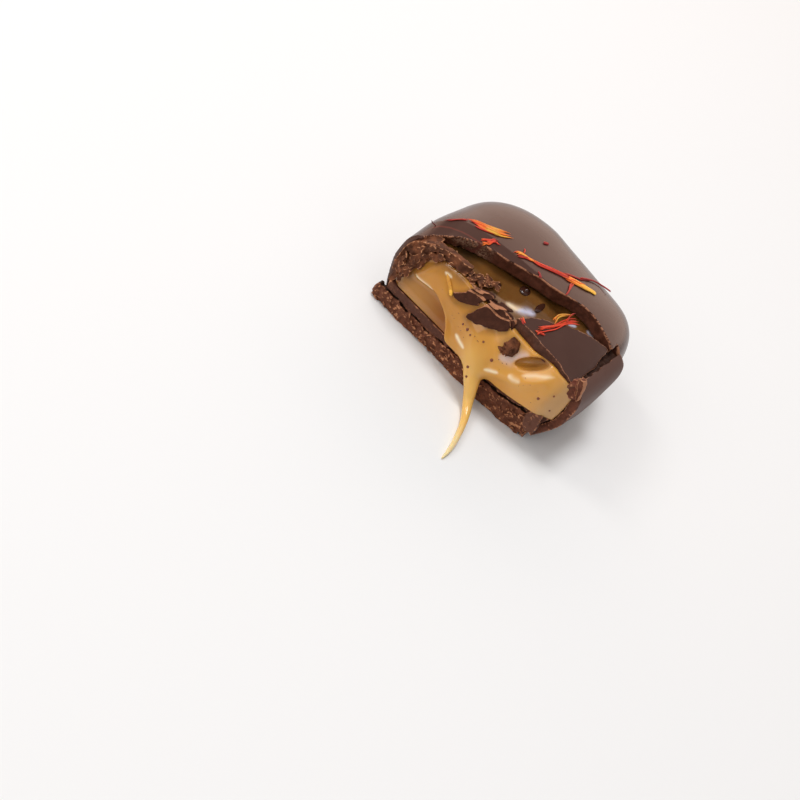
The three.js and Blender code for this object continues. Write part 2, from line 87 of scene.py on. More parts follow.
# ---- outlines and paths, in millimetres ----
# Seen from above (x, y):
RIM = [
    (-14.9, -12.5), (-14.0, -11.1), (-13.1, -9.9), (-11.9, -8.7), (-10.1, -7.7), (-7.5, -6.5),
    (-4.8, -5.6), (-1.4, -4.2), (2.8, -2.7), (7.6, -0.6), (13.6, -1.2),
]
STRIP_CRACK = [(-15.4, -9.6), (-15.0, -8.9), (-13.7, -8.0), (-12.1, -7.6), (-10.3, -7.4), (-8.8, -7.1)]
PLATE_REAR = [(2.3, -12.6), (4.1, -9.6), (8.4, -5.4), (13.8, -1.6)]
# Seen from the cut (x, z); the ridge has (x, y, z):
CRUST = [
    (-20, 4.0), (-14.2, 4.0), (-13.5, 7.7), (-12.8, 9.6), (-12.4, 11.1), (-11.4, 12.0), (-9.6, 12.9),
    (-7.4, 13.2), (-7.0, 13.9), (-7.0, 20), (-20, 20),
]
CRUST_WALL = [(-15.2, 3.6), (-15.7, 6.0), (-15.7, 9.0), (-15.0, 12.0), (-13.4, 13.8), (-11.0, 14.3)]
RIDGE = [(-13.2, -12.2, 13.5), (-11.4, -12.1, 13.5), (-9.4, -12.0, 13.3), (-7.8, -11.5, 12.9)]
CHIP_LEFT = [
    (-6.7, 10.3), (-5.5, 11.4), (-5.0, 12.5), (-3.7, 13.4), (-2.0, 13.7), (-3.0, 12.0), (-3.1, 11.2),
    (-5.6, 9.9),
]
CHIP_RIGHT = [
    (-3.1, 9.3), (-2.5, 11.4), (-2.2, 12.5), (-0.9, 13.3), (1.4, 13.4), (2.4, 11.8), (0.4, 10.4),
    (-1.8, 9.3),
]
# Shards on the chips: place, direction, normal, length, width, thickness, curl and phase.
CHIP_LEFT_SHARDS = [
    ((-4.2, -12.9, 13.2), (1, 0.2, 0.25), (0, -0.4, 1), 2.4, 0.8, 0.16, 0.12, 0.4),
]
CHIP_RIGHT_SHARDS = [
    ((-1.0, -12.9, 13.3), (1, 0.1, 0.35), (0.1, -0.5, 1), 2.6, 0.9, 0.16, 0.15, 1.1),
    ((-0.2, -11.9, 13.5), (1, 0.4, 0.05), (0, -0.3, 1), 2.4, 0.8, 0.2, 0.1, 2.0),
    ((1.4, -12.6, 13.4), (1, 0.1, -0.2), (0, -0.6, 1), 1.6, 0.7, 0.15, 0.1, 3.0),
    ((2.2, -12.8, 12.6), (0.45, 0.0, -1), (-0.3, -1, 0.1), 2.6, 1.5, 0.5, 0.0, 1.2),
    ((-1.9, -12.2, 12.5), (1, 0.2, 0.5), (0, -1, 0.3), 2.2, 1.3, 0.4, 0.0, 4.0),
]
# The chips of the top: piece, node, outline, rear, lean in degrees, shards and seed.
CHIPS = [
    ("chip_left", "top_chip_left", CHIP_LEFT, -11.7, 22, CHIP_LEFT_SHARDS, 21),
    ("chip_right", "top_chip_right", CHIP_RIGHT, -11.6, 20, CHIP_RIGHT_SHARDS, 22),
]
TILE_INNER = [
    (13.5, 13.9), (14.1, 14.3), (14.5, 13.5), (15.1, 12.5), (16.0, 11.6), (15.2, 11.2), (14.2, 11.4),
    (13.5, 12.2), (13.6, 13.0),
]
TILE_OUTER = [
    (14.2, 14.9), (14.9, 15.1), (15.5, 14.1), (15.9, 13.2), (16.1, 12.0), (15.9, 11.6), (14.9, 13.2),
    (14.2, 14.3),
]
BASE_CHIP = [(12.1, 4.9), (12.8, 6.0), (14.2, 6.3), (14.8, 3.3), (13.7, 2.8), (12.8, 3.3)]
# The strand: x, y, z and radius.
STRAND = [
    (-0.4, -12.9, 8.2, 2.4), (1.3, -14.1, 6.3, 1.95), (2.8, -15.2, 4.3, 1.43), (4.2, -16.2, 2.7, 1.0),
    (5.3, -17.1, 1.35, 0.78), (6.4, -18.7, 0.72, 0.63), (7.2, -20.6, 0.56, 0.52), (7.8, -22.6, 0.49, 0.46),
    (8.3, -24.6, 0.45, 0.41), (8.6, -26.5, 0.35, 0.32), (8.7, -28.1, 0.2, 0.15),
]
# The lower edge of the caramel's flow over the cut:
FLOW_EDGE_X = (-13.0, -11.0, -8.8, -7.6, -6.4, -5.3, -4.3, -3.3, -2.8, -1.7)
FLOW_EDGE_Z = (7.1, 7.4, 7.85, 7.7, 7.05, 6.25, 5.3, 4.0, 3.65, 3.6)
RIGHT_RIDGE = [(3.4, 5.0), (5.2, 6.6), (8.6, 8.4), (10.9, 11.0)]
COLUMN = [(-6.7, 9.0), (-3.8, 8.2), (-0.5, 7.2), (1.6, 5.6)]
PIT = (8.2, -13.9, 11.5)
PIT_RADII = (2.7, 1.5, 0.9)
PIT_TURN = math.radians(44)
CHUNK = [(3.7, 12.3), (4.7, 12.2), (5.5, 11.1), (5.3, 10.2), (4.4, 9.5), (3.4, 8.9), (3.0, 9.3), (3.4, 10.8)]
CHUNK_MIDDLE = (4.4, 10.9)
PETAL_STICK = ((-9.1, 11.7), (-8.2, 11.2), (-7.3, 10.6), (-6.6, 10.0))
DOTS = [
    (-1.7, 8.6), (-0.9, 8.5), (2.0, 5.2), (2.7, 4.0), (11.9, 8.6), (13.3, 10.2), (14.2, 7.7), (1.2, 9.1),
    (3.7, 7.9), (-2.7, 8.4),
]
# Chocolate drops in the pool: x, y and the radii along x, y and z.
POOL_DROPS = [
    (-0.3, -4.6, 0.85, 1.05, 0.28), (-0.2, -4.5, 0.42, 0.5, 0.5), (2.9, -4.9, 0.5, 1.5, 0.12),
    (-3.3, -7.3, 0.3, 0.55, 0.2),
]
# Painted highlights and glints on the caramel: highlight lines on the front (x, z) and glint lines on the
# pool (x, y), each with its half width.
FRONT_PAINTED_HIGHLIGHTS = [
    ([(-12.4, 8.0), (-10.9, 8.2), (-9.0, 8.5)], 0.3),
    ([(-2.5, 6.4), (-1.4, 6.3), (-0.3, 6.4)], 0.3),
    ([(3.8, 6.2), (4.7, 6.7), (5.5, 7.2)], 0.25),
    ([(6.9, 8.1), (7.7, 8.2), (8.5, 8.6)], 0.4),
    ([(8.1, 9.4), (9.5, 10.7), (11.6, 12.2)], 0.26),
    ([(-9.4, 11.7), (-8.3, 11.8)], 0.2),
]
POOL_PAINTED_GLINTS = [
    ([(-0.5, -9.5), (0.8, -9.1), (1.9, -8.0), (3.0, -6.7)], 0.7),
    ([(7.3, -2.2), (8.1, -1.5)], 0.4),
    ([(10.0, -0.5), (10.9, -0.1)], 0.45),
]
# A painted pale lavender reflection on the caramel's front, along a line of (x, z).
PAINTED_REFLECTION_LINE = [(4.3, 9.0), (5.6, 9.8), (6.8, 11.6)]


# ---- grids and fields ----
def smooth(low, high, value):
    t = np.clip((value - low) / (high - low), 0.0, 1.0)
    return t * t * (3.0 - 2.0 * t)


def hill(u, v, centre_u, centre_v, radius_u, radius_v):
    return np.exp(-((u - centre_u) / radius_u) ** 2 - ((v - centre_v) / radius_v) ** 2)


def join(a, b, blend):
    """Smooth union of two fields that are negative inside."""
    h = np.clip(0.5 + 0.5 * (b - a) / blend, 0.0, 1.0)
    return b * (1 - h) + a * h - blend * h * (1 - h)


def cut(a, b, blend):
    """Smooth overlap: inside both fields."""
    return -join(-a, -b, blend)


def overlap(*fields):
    """Sharp overlap of several fields."""
    return reduce(np.maximum, fields)


def carve(body, blend, *limits):
    """Cuts a body back to several limits in turn."""
    for limit in limits:
        body = cut(body, limit, blend)
    return body


def spline(points, steps, closed=False):
    """Catmull-Rom curve through the points."""
    p = np.array(points, float)
    if closed:
        p = np.vstack([p[-1], p, p[0], p[1]])
    else:
        p = np.vstack([2 * p[0] - p[1], p, 2 * p[-1] - p[-2]])
    out = []
    for i in range(1, len(p) - 2):
        a, b, c, d = p[i - 1:i + 3]
        for t in np.arange(steps) / steps:
            out.append(0.5 * (2 * b + (c - a) * t + (2 * a - 5 * b + 4 * c - d) * t * t
                              + (3 * b - a - 3 * c + d) * t ** 3))
    if not closed:
        out.append(p[-2])
    return np.array(out)


def unit(vectors):
    vectors = np.array(vectors, float)
    return vectors / np.linalg.norm(vectors, axis=-1, keepdims=True)


def axis_points(stretches):
    out = [np.array([stretches[0][0]], float)]
    for start, end, spacing in stretches:
        count = max(1, int(round((end - start) / spacing)))
        out.append(np.linspace(start, end, count + 1)[1:])
    return np.concatenate(out)


class Grid:
    """Points in a box; along each axis they follow (start, end, spacing) stretches in a row."""

    def __init__(self, xs, ys, zs, seed):
        self.axes = [axis_points(stretches) for stretches in (xs, ys, zs)]
        self.x, self.y, self.z = np.ix_(*self.axes)
        self.random = np.random.default_rng(seed)

    def full(self, value):
        return np.full([len(axis) for axis in self.axes], value, np.float32)

    def noise(self, size):
        """Smooth random field of about unit size, with lumps of the given size."""
        weights = []
        for axis in self.axes:
            place = (axis - axis[0]) / size + 2 * self.random.random()
            cell = np.floor(place).astype(int)
            t = place - cell
            w = np.zeros((len(axis), cell.max() + 4))
            rows = np.arange(len(axis))
            w[rows, cell] = (1 - t) ** 3 / 6
            w[rows, cell + 1] = (3 * t ** 3 - 6 * t ** 2 + 4) / 6
            w[rows, cell + 2] = (-3 * t ** 3 + 3 * t ** 2 + 3 * t + 1) / 6
            w[rows, cell + 3] = t ** 3 / 6
            weights.append(w)
        lattice = self.random.standard_normal([w.shape[1] for w in weights])
        out = np.tensordot(weights[0], lattice, (1, 0))
        out = np.tensordot(out, weights[1], (1, 1)).transpose(0, 2, 1)
        return (np.tensordot(out, weights[2], (2, 1)) * 1.9).astype(np.float32)

    def rough(self, size, octaves, gain=0.55):
        total = self.noise(size)
        for i in range(1, octaves):
            total = total + gain ** i * self.noise(size / 2 ** i)
        return total

    def distance(self, level):
        """Turns a level field (surface at 0) into an approximate distance."""
        gx, gy, gz = np.gradient(level, *self.axes)
        return level / np.maximum(np.sqrt(gx * gx + gy * gy + gz * gz), 1e-6)

    def near(self, low, high, place):
        """The window of grid points between two corners, and their offsets from a place."""
        window = tuple(slice(*np.searchsorted(axis, ends)) for axis, *ends in zip(self.axes, low, high))
        return window, np.ix_(*(axis[part] - p for axis, part, p in zip(self.axes, window, place)))

    def sample(self, field, points):
        """Field and its slope at loose points, by trilinear interpolation."""
        index, part, step = [], [], []
        for axis, place in zip(self.axes, points.T):
            i = np.clip(np.searchsorted(axis, place) - 1, 0, len(axis) - 2)
            index.append(i)
            step.append(axis[i + 1] - axis[i])
            part.append(np.clip((place - axis[i]) / step[-1], 0, 1))
        value = 0
        slope = np.zeros_like(points)
        for corner in np.ndindex(2, 2, 2):
            f = field[tuple(i + c for i, c in zip(index, corner))]
            share = [p if c else 1 - p for p, c in zip(part, corner)]
            value = value + f * share[0] * share[1] * share[2]
            for k, c in enumerate(corner):
                slope[:, k] += f * (2 * c - 1) * share[k - 1] * share[k - 2] / step[k]
        return value, slope


def shifted(array, steps):
    """The array without its last (0) or first (1) layer along each axis; None leaves an axis whole."""
    layers = {None: slice(None), 0: slice(None, -1), 1: slice(1, None)}
    return array[tuple(layers[step] for step in steps)]


def well_composed(inside):
    """Fills the few grid points where a surface would touch itself at an edge or a corner."""
    for _ in range(30):
        extra = np.zeros_like(inside)
        for whole in range(3):
            sides = [(*ij[:whole], None, *ij[whole:]) for ij in np.ndindex(2, 2)]
            p00, p01, p10, p11 = (shifted(inside, side) for side in sides)
            crossed = (p00 == p11) & (p10 == p01) & (p00 != p10)
            for side in sides:
                shifted(extra, side)[crossed] = True
        count = sum(shifted(inside, ijk).astype(np.int8) for ijk in np.ndindex(2, 2, 2))
        for i, j, k in ((0, 0, 0), (0, 0, 1), (0, 1, 0), (1, 0, 0)):
            near, far = shifted(inside, (i, j, k)), shifted(inside, (1 - i, 1 - j, 1 - k))
            crossed = (near & far & (count == 2)) | (~near & ~far & (count == 6))
            for ijk in np.ndindex(2, 2, 2):
                shifted(extra, ijk)[crossed] = True
        extra &= ~inside
        if not extra.any():
            break
        inside = inside | extra
    return inside


def contour(grid, field):
    """Points and quads of the surface where the field is zero (one point per crossed cell)."""
    field = np.array(field, np.float32)
    for k in range(3):
        ends = np.moveaxis(field, k, 0)
        ends[[0, -1]] = np.maximum(ends[[0, -1]], 0.05)
    inside = well_composed(field < 0)
    field = np.where(inside & (field >= 0), -0.01, field)
    shape = np.array(field.shape) - 1
    cells = shape.prod()
    sums = np.zeros((3, cells))
    hits = np.zeros(cells)
    quads = []
    for a, b, c in ((0, 1, 2), (1, 2, 0), (2, 0, 1)):
        low = np.moveaxis(field, (a, b, c), (0, 1, 2))[:-1]
        high = np.moveaxis(field, (a, b, c), (0, 1, 2))[1:]
        i, j, k = np.nonzero((low < 0) != (high < 0))
        f0, f1 = low[i, j, k], high[i, j, k]
        place = [None] * 3
        place[a] = grid.axes[a][i] + (grid.axes[a][i + 1] - grid.axes[a][i]) * f0 / (f0 - f1)
        place[b] = grid.axes[b][j]
        place[c] = grid.axes[c][k]
        around = []
        for dj, dk in ((-1, -1), (0, -1), (0, 0), (-1, 0)):
            spot = [None] * 3
            spot[a], spot[b], spot[c] = i, j + dj, k + dk
            flat = np.ravel_multi_index(spot, shape)
            around.append(flat)
            hits += np.bincount(flat, minlength=cells)
            for q in range(3):
                sums[q] += np.bincount(flat, weights=place[q], minlength=cells)
        ring = np.stack(around, 1)
        quads.append(np.where((f0 < 0)[:, None], ring, ring[:, ::-1]))
    used = np.nonzero(hits)[0]
    number = np.zeros(cells, np.int64)
    number[used] = np.arange(len(used))
    points = (sums[:, used] / hits[used]).T
    return points, number[np.concatenate(quads)]


def settle(grid, field, points):
    """Moves surface points onto the field's zero level, at most SETTLE_STEP at a time."""
    for _ in range(2):
        value, slope = grid.sample(field, points)
        steep = np.maximum((slope ** 2).sum(1), 1e-3)
        move = -(value / steep)[:, None] * slope
        length = np.linalg.norm(move, axis=1, keepdims=True)
        points = points + move * np.minimum(1, SETTLE_STEP / np.maximum(length, 1e-9))
    return points


def relax(points, quads, rounds, strength):
    """Moves each point towards the middle of its neighbours."""
    a = quads.ravel()
    b = np.roll(quads, -1, axis=1).ravel()
    count = np.bincount(a, minlength=len(points)) + np.bincount(b, minlength=len(points))
    for _ in range(rounds):
        mean = np.empty_like(points)
        for q in range(3):
            mean[:, q] = (np.bincount(a, points[b, q], len(points))
                          + np.bincount(b, points[a, q], len(points))) / count
        points = points + strength * (mean - points)
    return points


def point_normals(points, quads):
    face = np.cross(points[quads[:, 2]] - points[quads[:, 0]], points[quads[:, 3]] - points[quads[:, 1]])
    total = np.zeros_like(points)
    for k in range(4):
        for q in range(3):
            total[:, q] += np.bincount(quads[:, k], face[:, q], len(points))
    return total / np.maximum(np.linalg.norm(total, axis=1, keepdims=True), 1e-12)


def edge_share(points, quads, full):
    """1 on sharp outer edges, 0 on flat and hollow places; full is the rise in mm that counts as 1."""
    rise = ((points - relax(points, quads, 5, 0.7)) * point_normals(points, quads)).sum(1)
    return np.clip(rise / full, 0, 1)


def biggest(points, quads, least):
    """Leaves out loose scraps of fewer than `least` quads."""
    label = np.arange(len(points))
    for _ in range(400):
        low = label[quads].min(1)
        new = label.copy()
        for q in range(4):
            np.minimum.at(new, quads[:, q], low)
        new = new[new]
        if (new == label).all():
            break
        label = new
    size = np.bincount(label[quads[:, 0]], minlength=len(points))
    quads = quads[size[label[quads[:, 0]]] >= least]
    used = np.unique(quads)
    number = np.zeros(len(points), np.int64)
    number[used] = np.arange(len(used))
    return points[used], number[quads]


def surface(grid, field, least=60):
    points, quads = biggest(*contour(grid, field), least)
    return settle(grid, field, points), quads


def mesh_object(name, points, faces, attributes=None):
    """A new mesh piece; attributes are numbers from 0 to 1, one for each point or one for all."""
    mesh = bpy.data.meshes.new(name)
    faces = np.asarray(faces)
    sides = faces.shape[1]
    mesh.vertices.add(len(points))
    mesh.vertices.foreach_set("co", (np.asarray(points) * MM).astype(np.float32).ravel())
    mesh.loops.add(faces.size)
    mesh.loops.foreach_set("vertex_index", faces.astype(np.int32).ravel())
    mesh.polygons.add(len(faces))
    mesh.polygons.foreach_set("loop_start", np.arange(0, faces.size, sides, dtype=np.int32))
    mesh.polygons.foreach_set("use_smooth", np.ones(len(faces), bool))
    for key, value in (attributes or {}).items():
        layer = mesh.attributes.new(key, "FLOAT", "POINT")
        value = np.clip(np.broadcast_to(value, len(points)), 0, 1)
        layer.data.foreach_set("value", value.astype(np.float32))
    mesh.update()
    mesh.validate()
    piece = bpy.data.objects.new(name, mesh)
    bpy.context.collection.objects.link(piece)
    return piece


# ---- the coated form ----
def gauge(x, y, z, inset, roof):
    """1 on the plain coated form, drawn in by inset at the sides and by roof on top."""
    half_width = HALF_WIDTH - inset
    reach = DEPTH - inset
    rise = HEIGHT - roof - WAIST_Z
    foot_share = (FOOT_HALF_WIDTH - inset) / half_width
    drop = WAIST_Z / (1 - foot_share ** SIDE_POWER) ** (1 / SIDE_POWER)
    plan = (np.abs(x) / half_width) ** PLAN_POWER + (np.abs(y - CUT_Y) / reach) ** PLAN_POWER
    level = np.abs(z - WAIST_Z) / np.where(z > WAIST_Z, rise, drop)
    return (plan ** (SIDE_POWER / PLAN_POWER) + level ** SIDE_POWER) ** (1 / SIDE_POWER)


def unevenness(x, y, z):
    swell = 0.36 * np.exp(-((x + 4.6) / 3.2) ** 2)
    hollow = -0.55 * np.exp(-((x - 7.2) / 5) ** 2)
    left_hollow = -0.5 * smooth(-7.5, -14, x) * smooth(-7, 1, y)
    return smooth(4, 13, z) * (smooth(0, 12, y) * (swell + hollow) + left_hollow)


def ahead_of_bend(x, y):
    """How far a place lies ahead of the line where the top bends down to the cut."""
    return np.maximum(0, -3.2 + 0.17 * x - 2.0 * smooth(-13, -16, x) - y)


def bend_drop(x, y):
    slope = (0.16 + 0.1 * smooth(-10, -14.5, x)) * (1 - 0.6 * smooth(-3, 3, x))
    return slope * np.minimum(ahead_of_bend(x, y), 5)


def plate_drop(x, y):
    return 0.09 * np.minimum(ahead_of_bend(x, y), 12)


def foot_tuck(x, y, z):
    """How far the lower side walls turn in near the cut."""
    return FOOT_TUCK * np.sign(x) * smooth(9, 16, np.abs(x)) * smooth(7.5, 1.2, z) * smooth(-4, -12, y)


def form_level(x, y, z, inset=0.0, roof=0.0, drop=bend_drop):
    """0 on the coated form, negative inside."""
    z = z + drop(x, y) * smooth(WAIST_Z, HEIGHT - 2, z)
    x = x + foot_tuck(x, y, z)
    return gauge(x, y, z, inset, roof) / (1 + unevenness(x, y, z) / 18) - 1


PLATE_SHAPE = (PLATE_INSET, PLATE_SINK, plate_drop)


def form_distance(grid, *shape):
    """Distance to the coated form; shape holds its inset, roof and drop."""
    return grid.distance(form_level(grid.x, grid.y, grid.z, *shape))


def off_coat(points, *shape):
    """About how far points lie from the coated form, in millimetres."""
    return np.abs(form_level(*points.T, *shape)) * FORM_SPAN


def onto_form(points, chosen, *shape):
    """Moves the chosen points onto the coated form, straight out from the form's middle."""
    centre = np.array([0, CUT_Y, WAIST_Z])
    moved = points
    for _ in range(3):
        moved = centre + (moved - centre) / (1 + form_level(*moved.T, *shape))[:, None]
    return np.where(chosen[:, None], moved, points)


def top_height(x, y, *shape):
    """Height of the coated form's upper surface over a place."""
    low = np.full(np.shape(x), WAIST_Z)
    high = np.full(np.shape(x), HEIGHT + 1.0)
    for _ in range(24):
        middle = (low + high) / 2
        inside = form_level(x, y, middle, *shape) < 0
        low = np.where(inside, middle, low)
        high = np.where(inside, high, middle)
    return low


def squared_gap(starts, ends, u, v):
    """Smallest squared distance in a plane to straight stretches."""
    best = np.inf
    for (x0, y0), (x1, y1) in zip(starts, ends):
        ex, ey = x1 - x0, y1 - y0
        t = np.clip(((u - x0) * ex + (v - y0) * ey) / (ex * ex + ey * ey), 0, 1)
        best = np.minimum(best, (u - x0 - t * ex) ** 2 + (v - y0 - t * ey) ** 2)
    return best


def line_distance(path, u, v):
    return np.sqrt(squared_gap(path[:-1], path[1:], u, v))


def flat_distance(outline, u, v):
    """Signed distance in a plane to a closed outline, negative inside."""
    p = np.array(outline, float)
    q = np.roll(p, -1, axis=0)
    odd = False
    for (x0, y0), (x1, y1) in zip(p, q):
        odd = odd ^ (((y0 <= v) != (y1 <= v)) & (u < x0 + (v - y0) * (x1 - x0) / ((y1 - y0) or 1e-12)))
    return np.sqrt(squared_gap(p, q, u, v)) * np.where(odd, -1, 1)


def ellipsoid(*ratios):
    """0 on an ellipsoid and negative inside; each ratio is an offset over its radius."""
    return np.sqrt(sum(ratio ** 2 for ratio in ratios)) - 1


def add_shard(grid, body, place, along, normal, length, width, thickness, curl, phase, blend=0.05):
    """Joins a thin curved shard to a field, worked out only near it."""
    place = np.array(place, float)
    u = unit(along)
    w = unit(np.array(normal) - np.dot(normal, u) * u)
    v = np.cross(w, u)
    reach = max(length, width) * 0.62 + thickness + 0.25
    window, (x, y, z) = grid.near(place - reach, place + reach, place)
    a, b, c = (x * axis[0] + y * axis[1] + z * axis[2] for axis in (u, v, w))
    c = c - curl * a * a
    turn = np.arctan2(b / width, a / length)
    round_level = np.sqrt((a / (length / 2)) ** 2 + (b / (width / 2)) ** 2)
    outline = 1 + 0.2 * np.sin(3 * turn + phase) + 0.12 * np.sin(5 * turn + 2.3 * phase)
    side = (round_level / outline - 1) * width / 2
    shard = np.maximum(side, np.abs(c) - thickness / 2)
    body[window] = join(body[window], shard, blend)


def add_random_shard(grid, body, place, along, normal, lengths, widths, thicknesses, curl, blend=0.05):
    """Adds a shard with its length, width and thickness drawn between two limits each."""
    draw = grid.random.uniform
    sizes = [draw(*limits) for limits in (lengths, widths, thicknesses, (-curl, curl), (0, 6))]
    add_shard(grid, body, place, along, normal, *sizes, blend)


# ---- shell ----
def make_shell_body():
    g = Grid(
        [(-17.4, 17.6, 0.17)],
        [(-12.9, 0.2, 0.14), (0.2, 13.8, 0.28)],
        [(-0.3, 10.4, 0.26), (10.4, 16.2, 0.13)],
        seed=11,
    )
    fine = g.rough(0.5, 2)
    sandy = smooth(-6.5, -8.5, g.x)
    outline = [*spline(RIM, 6), (14.2, -1.4), (40, -1.4), (40, -40), (-14.9, -40)]
    opening = flat_distance(outline, g.x, g.y)
    opening = opening + 0.15 * (g.z - 14.5) + 0.12 * g.noise(1.5) + (0.035 + 0.11 * sandy) * fine
    opening = np.maximum(opening, (WAIST_Z + 3.2) - g.z)
    window = np.maximum((PANEL_TOP_X - 0.3) - g.x, g.y - (PANEL_REAR_Y + 0.25)) + 0.04 * fine
    left = smooth(-12.5, -14.5, g.x) * smooth(2, 5, g.z)
    ahead = (CUT_Y - g.y) + 0.1 * fine * (1 - left)
    body = np.maximum(form_distance(g), -form_distance(g, WALL, ROOF))
    body = carve(body, 0.06, -opening, -window)
    body = cut(body, ahead, 0.06 + 0.8 * left)
    body = np.maximum(body, -g.z)
    points, quads = surface(g, body)
    gap = off_coat(points)
    points = onto_form(points, gap < COAT_REACH)
    points[:, 2] = np.maximum(points[:, 2], 0)
    broken = smooth(0.06, 0.16, gap)
    x, y, z = points.T
    inside_face = off_coat(points, WALL, ROOF) < 0.2
    left_wall = smooth(-12.5, -14.0, x) * smooth(-11.9, -12.2, y)
    edge = edge_share(points, quads, 0.05) * np.where(inside_face, 0.2, 1.0)
    attributes = {
        "broken": broken * (1 - 0.8 * left_wall),
        "edge": edge * smooth(13.5, 12.5, y) * (1 - left_wall),
        "crack": smooth(0.2, 0.06, line_distance(STRIP_CRACK, x, y)) * (z > 12),
        "sandy": smooth(-6.2, -8.0, x) * smooth(-13.0, -12.0, x) * broken * smooth(12.7, 13.3, z),
    }
    return mesh_object("candy_shell", points, quads, attributes)


def make_crust():
    """Flaky relief of the broken wall on the left and of the ridge above it."""
    g = Grid([(-17.3, -6.0, 0.1)], [(-14.0, -8.9, 0.1)], [(2.6, 15.7, 0.1)], seed=17)
    form = form_distance(g)
    band = flat_distance(CRUST, g.x, g.z) + 0.35 * g.noise(1.3)
    lumps = g.rough(0.9, 3, 0.5)
    gap_behind = np.maximum(-12.9 - g.x, CUT_Y + 1.0 - g.y + 0.25 * lumps)
    front = CUT_Y - 0.25 - g.y + 0.24 * lumps
    body = carve(np.maximum(band, form + 0.2), 0.1, front, g.y - (CUT_Y + 2.4), -gap_behind)
    ridge = spline(RIDGE, 6)
    tube = tube_field(g, ridge, np.full(len(ridge), 0.55), 1.6)
    body = join(body, tube + 0.2 * lumps, 0.15)
    wall = spline(CRUST_WALL, 8)
    random = g.random
    for _ in range(60):
        i = random.integers(0, len(wall) - 1)
        tangent = unit(wall[i + 1] - wall[i])
        inward = np.array([tangent[1], -tangent[0]])
        depth = random.uniform(0.1, 2.7) * (0.55 + 0.45 * smooth(3, 9, wall[i, 1]))
        x, z = wall[i] + inward * depth + random.normal(0, 0.15, 2)
        y = CUT_Y + random.uniform(-0.75, -0.05)
        along = (tangent[0], 0, tangent[1]) + random.normal(0, 0.3, 3)
        lean = inward[0] * np.array([random.normal(0, 0.6), 0, random.normal(0, 0.6)])
        normal = (0, -1, 0) + lean + random.normal(0, 0.2, 3)
        add_random_shard(g, body, (x, y, z), along, normal, (1.1, 2.3), (0.7, 1.3), (0.16, 0.24), 0.5, 0.02)
    for _ in range(55):
        i = random.integers(0, len(ridge) - 1)
        spot = ridge[i] + random.normal(0, 1, 3) * (0.3, 0.4, 0.25)
        along = (ridge[i + 1] - ridge[i]) * 2.5 + random.normal(0, 0.35, 3)
        normal = (0, -0.5, 0.7) + random.normal(0, 0.5, 3)
        add_random_shard(g, body, spot, along, normal, (0.7, 2.0), (0.35, 0.8), (0.12, 0.18), 0.4)
    wall_side = smooth(13.2, 11.5, g.z) * smooth(-12, -14, g.x)
    hole = ellipsoid((g.x + 12.1) / 1.5, (g.y + 11.5) / 1.1, (g.z - 14.0 - 0.25 * (g.x + 12.1)) / 0.42)
    body = overlap(body, form + 0.02 + 0.6 * wall_side, -hole * 0.4)
    points, quads = surface(g, body)
    attributes = {"broken": 1.0, "edge": edge_share(points, quads, 0.055)}
    return mesh_object("broken_crust", points, quads, attributes)


def swing(points):
    """Swings the panel's rear end outwards about its front corner, as it has cracked loose."""
    pivot = np.array([HALF_WIDTH - WALL, CUT_Y])
    c, s = math.cos(-PANEL_SWING), math.sin(-PANEL_SWING)
    out = points.copy()
    out[:, :2] = pivot + (points[:, :2] - pivot) @ np.array([(c, s), (-s, c)])
    return out


def make_side_panel():
    g = Grid([(12.2, 17.5, 0.1)], [(-14.1, 0.7, 0.12)], [(-0.1, 15.7, 0.12)], seed=12)
    inner = form_distance(g, WALL, ROOF)
    fine = g.rough(0.45, 3)
    ledge = overlap(12.7 - g.x, g.z - PANEL_BREAK_Z, 11.2 - g.z, CUT_Y + 0.4 - g.y) + 0.1 * fine
    body = np.maximum(form_distance(g), np.minimum(-inner + 0.06 * fine, ledge))
    top_edge = (PANEL_TOP_X + 0.12 * g.noise(1.2)) - g.x + 0.08 * fine
    top_edge = np.minimum(top_edge, g.z - PANEL_BREAK_Z + 0.1 * fine)
    body = carve(body, 0.08, top_edge, g.y - PANEL_REAR_Y + 0.06 * fine)
    body = cut(body, 0.85 * g.y + 0.5 * (g.z - 12) - 0.4, 0.15)
    body = cut(body, CUT_Y - g.y + 0.08 * fine + 0.1 * g.noise(1.1), 0.08)
    lumps = 0.08 * g.rough(0.7, 2)
    flake_through = np.abs(g.y - FLAKE_Y) - 0.4 + 2.5 * lumps
    tile_through = np.abs(g.y - TILE_Y) - 0.42 + 0.03 * fine
    for outline, through in ((TILE_INNER, flake_through), (TILE_OUTER, tile_through)):
        body = np.minimum(body, np.maximum(flat_distance(outline, g.x, g.z) + lumps, through))
    foot = 0.9 + 0.5 * smooth(-4, -12.5, g.y)
    body = cut(body, foot + 0.06 * fine - g.z, 0.15)
    points, quads = surface(g, body)
    gap = off_coat(points)
    points = onto_form(points, (gap < COAT_REACH) & (points[:, 1] > CUT_Y - 0.05))
    x, y, z = points.T
    normals = point_normals(points, quads)
    ahead = smooth(CUT_Y, CUT_Y - 0.15, y)
    on_flake = smooth(0.35, 0.2, flat_distance(TILE_INNER, x, z)) * smooth(-13.25, -13.15, y) * ahead
    rim = smooth(0.35, 0.65, np.abs(0.8 * normals[:, 0] + 0.6 * normals[:, 2])) * ahead
    # Painted shadow on the broken face near the crack under the plate.
    crack_side = smooth(-12.0, -11.6, y) * smooth(11.8, 12.6, z) * smooth(15.3, 14.9, x)
    attributes = {
        "broken": np.maximum(smooth(0.06, 0.16, gap), ahead),
        "edge": np.maximum(edge_share(points, quads, 0.045), rim),
        "crack": 0.6 * on_flake,
        "painted_shadow": crack_side * smooth(0.06, 0.2, gap),
        # Rougher coat on the panel, lightened by painted sheen.
        "matte_and_painted_sheen": 0.7,
    }
    return mesh_object("side_panel", swing(points), quads, attributes)


